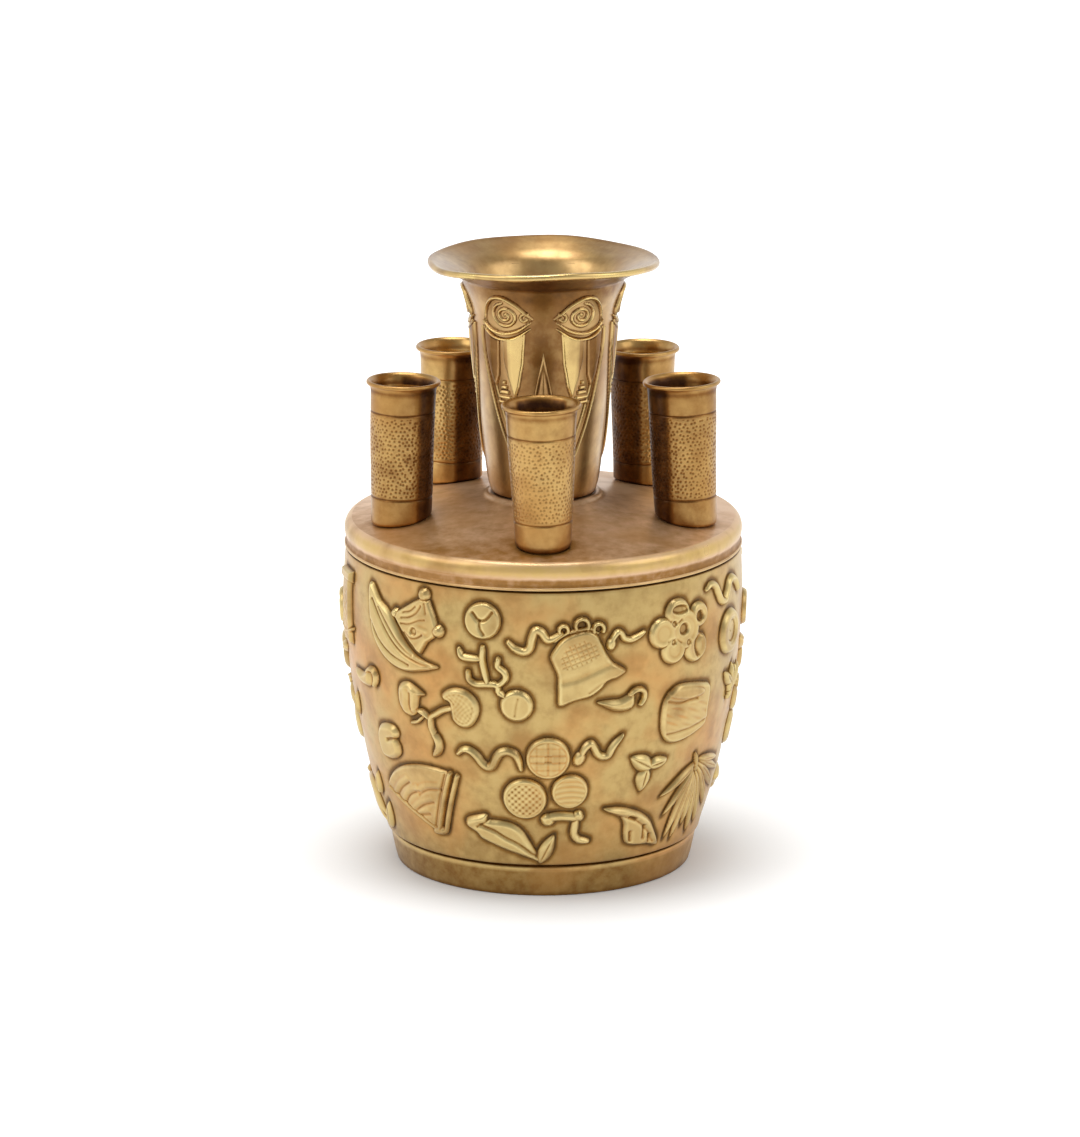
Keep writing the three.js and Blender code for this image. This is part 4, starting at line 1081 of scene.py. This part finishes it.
def lappet_rub(x, y):
    """The main blades are polished bright, the outer ones stay brown."""
    side = np.abs(x)
    main = ease(-to_outline(side, y, MAIN_BLADE) / 0.4)
    outer = ease(-to_outline(side, y, SIDE_BLADE) / 0.4)
    spike = ease((4 - side) / 0.5) * ease((7 - y) / 0.5) * ease((y + 9) / 0.5)
    return 0.3 * main * (side < 10.6) - 0.26 * outer - 0.14 * spike - 0.12


def on_neck(middle):
    """Lays a leaf's points on the neck, round its middle."""
    def place(x, y, h):
        return lay_on(neck_radius, middle + x / LAPPET_RADIUS, LAPPET_BASE + y, h)
    return place


def neck_lappets():
    leaves = [(lappet, *LAPPET_SIZE, on_neck(middle)) for middle in LAPPET_TURNS]
    return [relief_piece(f"neck_lappet_{i + 1}", [leaf], LAPPET_STEP, lappet_rub) for i, leaf in enumerate(leaves)]


# Small tubes

def tube_profile(tube):
    top = tube["top"] * TUBE_TOP_RADIUS
    foot = tube["foot"] * TUBE_FOOT_RADIUS

    def wall(start, end, count):
        return line_of(lambda z: foot + (top - foot) * z / LIP_BASE, spread(start, end, count))

    def groove_at(z):
        shape = [(-0.5, 0), (-0.28, 0.1), (-0.12, 0.85), (0.12, 0.85), (0.28, 0.1), (0.5, 0)]
        return [(foot + (top - foot) * (z + dz) / LIP_BASE - GROOVE_DEPTH * deep, z + dz) for dz, deep in shape]

    lip_radius = top + LIP_FLARE - LIP_EDGE / 2
    bore = top - TUBE_WALL
    foot_bore = min(bore, foot - TUBE_WALL)
    tenon_bore = TENON_RADIUS - TENON_WALL
    outside = (arc(foot - TUBE_FOOT_ROUND, TUBE_FOOT_ROUND, TUBE_FOOT_ROUND, TUBE_FOOT_ROUND, -80, 0, 6)
               + wall(TUBE_FOOT_ROUND + 0.8, BAND_BOTTOM - GROOVE_MARGIN, 6) + groove_at(BAND_BOTTOM)
               + wall(BAND_BOTTOM + GROOVE_MARGIN, BAND_TOP - GROOVE_MARGIN, BAND_ROWS) + groove_at(BAND_TOP)
               + wall(BAND_TOP + GROOVE_MARGIN, LIP_BASE - 0.2, 6))
    lip = (smooth([(top, LIP_BASE), (top + 0.25, LIP_BASE + 1.2), (top + 0.8, LIP_BASE + 1.95)], 3)
           + arc(lip_radius, TUBE_HEIGHT - LIP_EDGE / 2, LIP_EDGE / 2, LIP_EDGE / 2, -55, 150, 10))
    inside = smooth([(lip_radius - 0.7, TUBE_HEIGHT - 0.4), (bore + 0.5, LIP_BASE + 1.2), (bore, LIP_BASE - 0.6)], 4)
    inside += [(foot_bore + (bore - foot_bore) * (z - BAND_BOTTOM) / (LIP_BASE - BAND_BOTTOM), z)
               for z in spread(LIP_BASE - 3, BAND_BOTTOM, 8)]
    return outside + lip + inside + [(tenon_bore, 2.1), (tenon_bore, TENON_BOTTOM), (TENON_RADIUS, TENON_BOTTOM),
                                     (TENON_RADIUS, 0)]


def punched(around, z, radius, seed):
    """Height and darkness of the punched ground: small pits with raised rims, in jittered rows."""
    per_row = round(FULL_TURN * radius / PUNCH_PITCH)
    pitch = FULL_TURN * radius / per_row
    jitter = np.random.default_rng(seed).uniform(-PUNCH_JITTER, PUNCH_JITTER, (PUNCH_ROWS, per_row, 2))
    nearest = np.full(around.shape, 9.0)
    for near_row in (-1, 0, 1):
        row = np.floor(z / PUNCH_ROW).astype(int) + near_row
        shift = (row % 2) * 0.5
        for near_column in (0, 1):
            column = np.floor(around / pitch - shift).astype(int) + near_column
            moved = jitter[row % PUNCH_ROWS, column % per_row]
            cx = (column + shift + moved[..., 0]) * pitch
            cy = (row + 0.5 + moved[..., 1]) * PUNCH_ROW
            nearest = np.minimum(nearest, np.hypot(around - cx, z - cy))
    pit = np.exp(-(nearest / PUNCH_PIT) ** 4)
    ring = groove(nearest - PUNCH_RING, 1, PUNCH_RING_WIDTH)
    return PUNCH_RING_RISE * ring - PUNCH_DEPTH * pit, pit - 0.25 * ring


def fit_foot_to_dome(local, place):
    """The foot's edge follows the dome it stands on, the rest of the tube stays straight."""
    place = np.array(place)
    world = local @ place[:3, :3].T + place[:3, 3]
    dome = shoulder_height(np.hypot(world[:, 0], world[:, 1])) + 0.1
    low = 1 - ease(local[:, 2] / (BAND_BOTTOM - 1))
    outer = (np.hypot(local[:, 0], local[:, 1]) > TENON_RADIUS - 0.01) & (local[:, 2] > -1)
    local[:, 2] += (dome - world[:, 2] + local[:, 2]) * low * outer


def tube_tone(tube, azimuth, z, outer, pits):
    """Darker in the grooves and the pits. Painted shade deep in the bore, on the side that faces the neck, under the
    lip and at the foot; a painted reflection lightens the bore near its mouth.
    """
    # The bore is painted dark deep down as shade, and light near its mouth as a painted reflection.
    inside = 0.2 + 0.65 * ease((z - TUBE_HEIGHT + 13) / 9)
    tone = np.where(outer, tube["tone"], inside) - pits
    for z_groove in (BAND_BOTTOM, BAND_TOP):
        tone = tone - groove(z - z_groove, 0.2, 0.3) * outer
    lip = ease((z - TUBE_HEIGHT + 1.5) / 1.2)
    # Painted shade on the side that faces the neck, standing in for the dark neck that side reflects.
    painted_shade_facing_neck = ease((math.radians(tube["dark"]) - np.abs(azimuth - math.pi)) / 0.24)
    tone = tone * (1 - 0.82 * painted_shade_facing_neck * (1 - 0.5 * lip) * outer)
    # The lip takes the inner tone. A painted shadow line runs under the flare of the lip.
    tone = tone * (1 - lip) + INNER_TONE * lip - groove(z - LIP_BASE - 0.3, 0.15, 0.7) * outer
    # A little painted shade at the tube's foot, where it stands on the dome.
    return tone - 0.05 * outer * ease((0.8 - z) / 0.8)


def flower_tube(index, tube):
    piece = turned(f"flower_tube_{tube['name']}", tube_profile(tube), TUBE_FACETS)
    local, radius, azimuth, z = points_of(piece)
    azimuth = azimuth % FULL_TURN
    middle_radius = (tube["top"] * TUBE_TOP_RADIUS + tube["foot"] * TUBE_FOOT_RADIUS) / 2
    low, high = BAND_BOTTOM + GROOVE_MARGIN, BAND_TOP - GROOVE_MARGIN
    outer = radius > middle_radius - 0.95
    band = outer * ease((z - low) / 0.4) * ease((high - z) / 0.4)
    push, pit = punched(azimuth * middle_radius, z - low, middle_radius, PUNCH_SEED + index)
    dent = 0.05 * np.sin(3 * azimuth + 0.2 * z + index) + 0.04 * np.sin(5 * azimuth - 0.13 * z)
    local[:, :2] *= ((radius + push * band + dent * outer) / radius)[:, None]
    fit_foot_to_dome(local, tube_place(tube))
    move_points(piece, local)
    set_tone(piece, tube_tone(tube, azimuth, z, outer, band * (0.16 * pit - 0.03)))
    matrix = tube_place(tube)
    matrix.translation *= MM
    piece.data.transform(matrix)
    return piece


# Shader nodes. add_node gives a node's outputs, and the others the socket of their result.

def rgb(*colour):
    """A colour as measured on screen, in the shader's linear light."""
    return tuple((c / 255 / 12.92) if c <= 10 else ((c / 255 + 0.055) / 1.055) ** 2.4 for c in colour) + (1,)


def feed(node, inputs):
    """Links or sets inputs of a node, which are named or numbered."""
    for name, value in inputs.items():
        if isinstance(value, bpy.types.NodeSocket):
            node.id_data.links.new(value, node.inputs[name])
        else:
            node.inputs[name].default_value = value


def add_node(tree, kind, inputs=None, **settings):
    made = tree.nodes.new("ShaderNode" + kind)
    for name, value in settings.items():
        setattr(made, name, value)
    feed(made, inputs or {})
    return made.outputs


def noise(where, scale, detail, roughness=0.55):
    return add_node(where.id_data, "TexNoise", {"Vector": where, "Scale": scale, "Detail": detail,
                                                "Roughness": roughness})[0]


def remap(value, low, high, new_low, new_high):
    return add_node(value.id_data, "MapRange", {"Value": value, "From Min": low, "From Max": high,
                                                "To Min": new_low, "To Max": new_high})[0]


def blend_colours(share, first, second):
    return add_node(share.id_data, "Mix", {0: share, 6: first, 7: second}, data_type="RGBA")[2]


def plus(first, second):
    return add_node(first.id_data, "Math", {0: first, 1: second}, operation="ADD")[0]


def times(first, second):
    return add_node(first.id_data, "Math", {0: first, 1: second}, operation="MULTIPLY")[0]


def ramp(value, stops):
    made = add_node(value.id_data, "ValToRGB", {0: value})
    elements = made[0].node.color_ramp.elements
    while len(elements) < len(stops):
        elements.new(0.5)
    for element, (place, colour) in zip(elements, stops):
        element.position = place
        element.color = colour
    return made[0]


def bump(height, distance):
    return add_node(height.id_data, "Bump", {"Height": height, "Strength": 1.0, "Distance": distance})[0]


def new_material(name):
    material = bpy.data.materials.new(name)
    material.use_nodes = True
    tree = material.node_tree
    where = add_node(tree, "TexCoord")["Object"]
    return material, tree, tree.nodes["Principled BSDF"], where


# Finishes

GRAIN = 0.00002
RIPPLE = 0.0001
WHITE = (1, 1, 1, 1)


def aged_brass(name, colours, roughness, metallic, coat, edge_coat=0.8, edge_ior=1.5, scratches=0.0):
    """Aged brass: dark in the hollows, rubbed on the crests, mottled warm and olive. Its tone attribute also carries
    painted shade, painted highlights and painted reflections.
    """
    grime_and_painted_shade, dull, plain, rubbed, warm = [rgb(*colour) for colour in colours]
    material, tree, shader, where = new_material(name)
    tone = add_node(tree, "Attribute", attribute_name="tone")["Fac"]
    cloud = noise(where, 38, 3)
    speck = noise(where, 260, 4, 0.6)
    toned = plus(tone, remap(speck, 0.3, 0.7, -0.07, 0.07))
    colour = ramp(toned, [(0.0, grime_and_painted_shade), (0.26, dull), (0.5, plain), (1.0, rubbed)])
    above = remap(tone, 0.2, 0.5, 0, 1)
    patch = times(remap(cloud, 0.45, 0.64, 0, 0.95), remap(tone, 0.52, 0.62, 1.0, 0.3))
    colour = blend_colours(times(patch, above), colour, warm)
    stain = remap(noise(where, 75, 4), 0.5, 0.7, 0, 0.55)
    colour = blend_colours(times(stain, above), colour, dull)
    rough = remap(toned, 0.1, 0.8, roughness + 0.16, roughness - 0.03)
    rough = plus(rough, remap(cloud, 0.3, 0.7, -0.04, 0.05))
    gloss = remap(add_node(tree, "LayerWeight")["Facing"], 0.4, 0.8, coat, edge_coat)
    gloss = times(gloss, remap(tone, 0.25, 0.45, 0.4, 1.0))
    grain = plus(noise(where, 1100, 3, 0.6), times(speck, 0.8))
    if scratches:
        drawn = add_node(tree, "Mapping", {"Vector": where, "Scale": (1, 0.06, 1), "Rotation": (0, 0, 0.6)})[0]
        grain = plus(grain, times(noise(drawn, 900, 2), scratches))
    feed(shader, {"Base Color": colour, "Roughness": rough, "Metallic": metallic, "Coat Weight": gloss,
                  "Coat IOR": edge_ior, "Coat Roughness": 0.24, "Normal": bump(grain, GRAIN)})
    return material


# Colours are the metal's when grimy, dull, plain, rubbed and warm. The grimy colour also serves for deep painted
# shade, the rubbed one for painted highlights.
CAST = aged_brass("cast_brass", [(84, 62, 28), (142, 102, 42), (202, 170, 104), (230, 206, 140), (212, 158, 88)],
                  0.38, 0.95, 0.6, 0.5)
NECK = aged_brass("neck_brass", [(64, 42, 16), (140, 96, 44), (206, 168, 106), (246, 216, 136), (196, 148, 86)],
                  0.29, 1.0, 0.3, 1.0, 2.0)
PLATE = aged_brass("plate_brass", [(66, 44, 24), (160, 112, 48), (230, 190, 150), (216, 180, 104), (206, 156, 100)],
                   0.34, 0.58, 0.3, 0.3, 1.5, 1.0)
TUBE = aged_brass("tube_brass", [(62, 32, 10), (142, 96, 44), (210, 170, 102), (236, 206, 136), (204, 152, 80)],
                  0.28, 1.0, 0.4, 0.5)
BASE = aged_brass("base_brass", [(52, 38, 22), (104, 76, 42), (150, 112, 66), (190, 150, 96), (144, 100, 56)],
                  0.5, 0.9, 0.2)


def solder_finish():
    """Dull grey-yellow hard solder, lightly rippled. CAD nodes have no tone of their own."""
    material, tree, shader, where = new_material("spelter")
    ripple = noise(where, 400, 3)
    feed(shader, {"Base Color": ramp(ripple, [(0.3, rgb(112, 100, 78)), (0.7, rgb(172, 156, 124))]),
                  "Roughness": remap(ripple, 0.3, 0.7, 0.45, 0.62), "Metallic": 1.0,
                  "Normal": bump(ripple, RIPPLE)})
    return material


# Assembly

def dress(piece, material, slot, *nodes):
    piece.data.materials.clear()
    piece.data.materials.append(material)
    if nodes:
        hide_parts(*nodes)
    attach(piece, "root")


def build_vase():
    dress(vase_body(), CAST, "cast_brass", "body_shell")
    for piece in cast_emblems():
        dress(piece, CAST, "cast_brass")
    dress(base_disc(), BASE, "base_brass", "base_plate")
    dress(shoulder(), PLATE, "plate_brass", "shoulder_plate")
    dress(trumpet_neck(), NECK, "neck_brass", "neck")
    for piece in neck_lappets():
        dress(piece, NECK, "neck_brass")
    for index, tube in enumerate(TUBES):
        dress(flower_tube(index, tube), TUBE, "tube_brass", f"tube_{tube['name']}")
    solder = solder_finish()
    for name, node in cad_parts.items():
        if "solder" in name:
            node.data.materials.clear()
            node.data.materials.append(solder)


# Stage

FLOOR_SIZE = 6.0
FLOOR_COLOUR = (0.86, 0.86, 0.86, 1)
LAMP_TARGET = Vector((0, 0, 0.09))

# Name, place and width in metres, and power in watts
LAMPS = [("left", (-1.1, -0.5, 1.2), 1.1, 5.4), ("right", (1.2, -0.5, 1.1), 1.1, 3.9),
         ("top", (-0.1, 0.05, 1.5), 0.8, 7.5)]


def add_floor():
    """White table. It keeps the shadow, and a faint glow round it brings it to white."""
    bm = bmesh.new()
    bmesh.ops.create_grid(bm, x_segments=1, y_segments=1, size=FLOOR_SIZE)
    floor = mesh_object("floor", bm)
    material, tree, shader, where = new_material("white_table")
    feed(shader, {"Base Color": FLOOR_COLOUR, "Roughness": 0.9, "Specular IOR Level": 0.0})
    path = add_node(tree, "LightPath")
    away = add_node(tree, "VectorMath", {0: where}, operation="LENGTH")["Value"]
    seen = times(path["Is Camera Ray"], plus(remap(away, 0.046, 0.085, 0.0, 0.2), remap(away, 0.085, 0.6, 0.0, 0.4)))
    # For reflections only, the table glows more behind the vase: a painted reflection of a bright backdrop.
    behind = remap(add_node(tree, "SeparateXYZ", {0: where})["Y"], -0.05, 0.35, 0.0, 0.12)
    glow = add_node(tree, "Emission", {"Color": WHITE, "Strength": plus(seen, times(path["Is Glossy Ray"], behind))})
    both = add_node(tree, "AddShader", {0: shader.outputs[0], 1: glow[0]})
    feed(tree.nodes["Material Output"], {"Surface": both[0]})
    floor.data.materials.append(material)


def add_world():
    """White behind and beside the object; the room above and in front of it is dimmer."""
    world = bpy.data.worlds.new("studio")
    world.use_nodes = True
    bpy.context.scene.world = world
    tree = world.node_tree
    tree.nodes.clear()
    parts = add_node(tree, "SeparateXYZ", {0: add_node(tree, "TexCoord")["Generated"]})
    room = times(remap(parts["Z"], 0.3, 0.8, 1.0, 0.4), remap(parts["Y"], -0.8, 0.1, 0.5, 0.93))
    path = add_node(tree, "LightPath")
    plain = plus(path["Is Camera Ray"], times(path["Is Diffuse Ray"], 0.8))
    light = plus(plain, times(path["Is Glossy Ray"], room))
    background = add_node(tree, "Background", {"Color": WHITE, "Strength": light})
    add_node(tree, "OutputWorld", {"Surface": background[0]})


def light_studio():
    add_world()
    add_floor()
    for name, place, size, power in LAMPS:
        data = bpy.data.lights.new(name, "AREA")
        data.shape = "DISK"
        data.size = size
        data.energy = power
        aim(put_in_scene(name, data), place, LAMP_TARGET)


build_vase()
light_studio()
bpy.context.scene.view_settings.view_transform = "Standard"
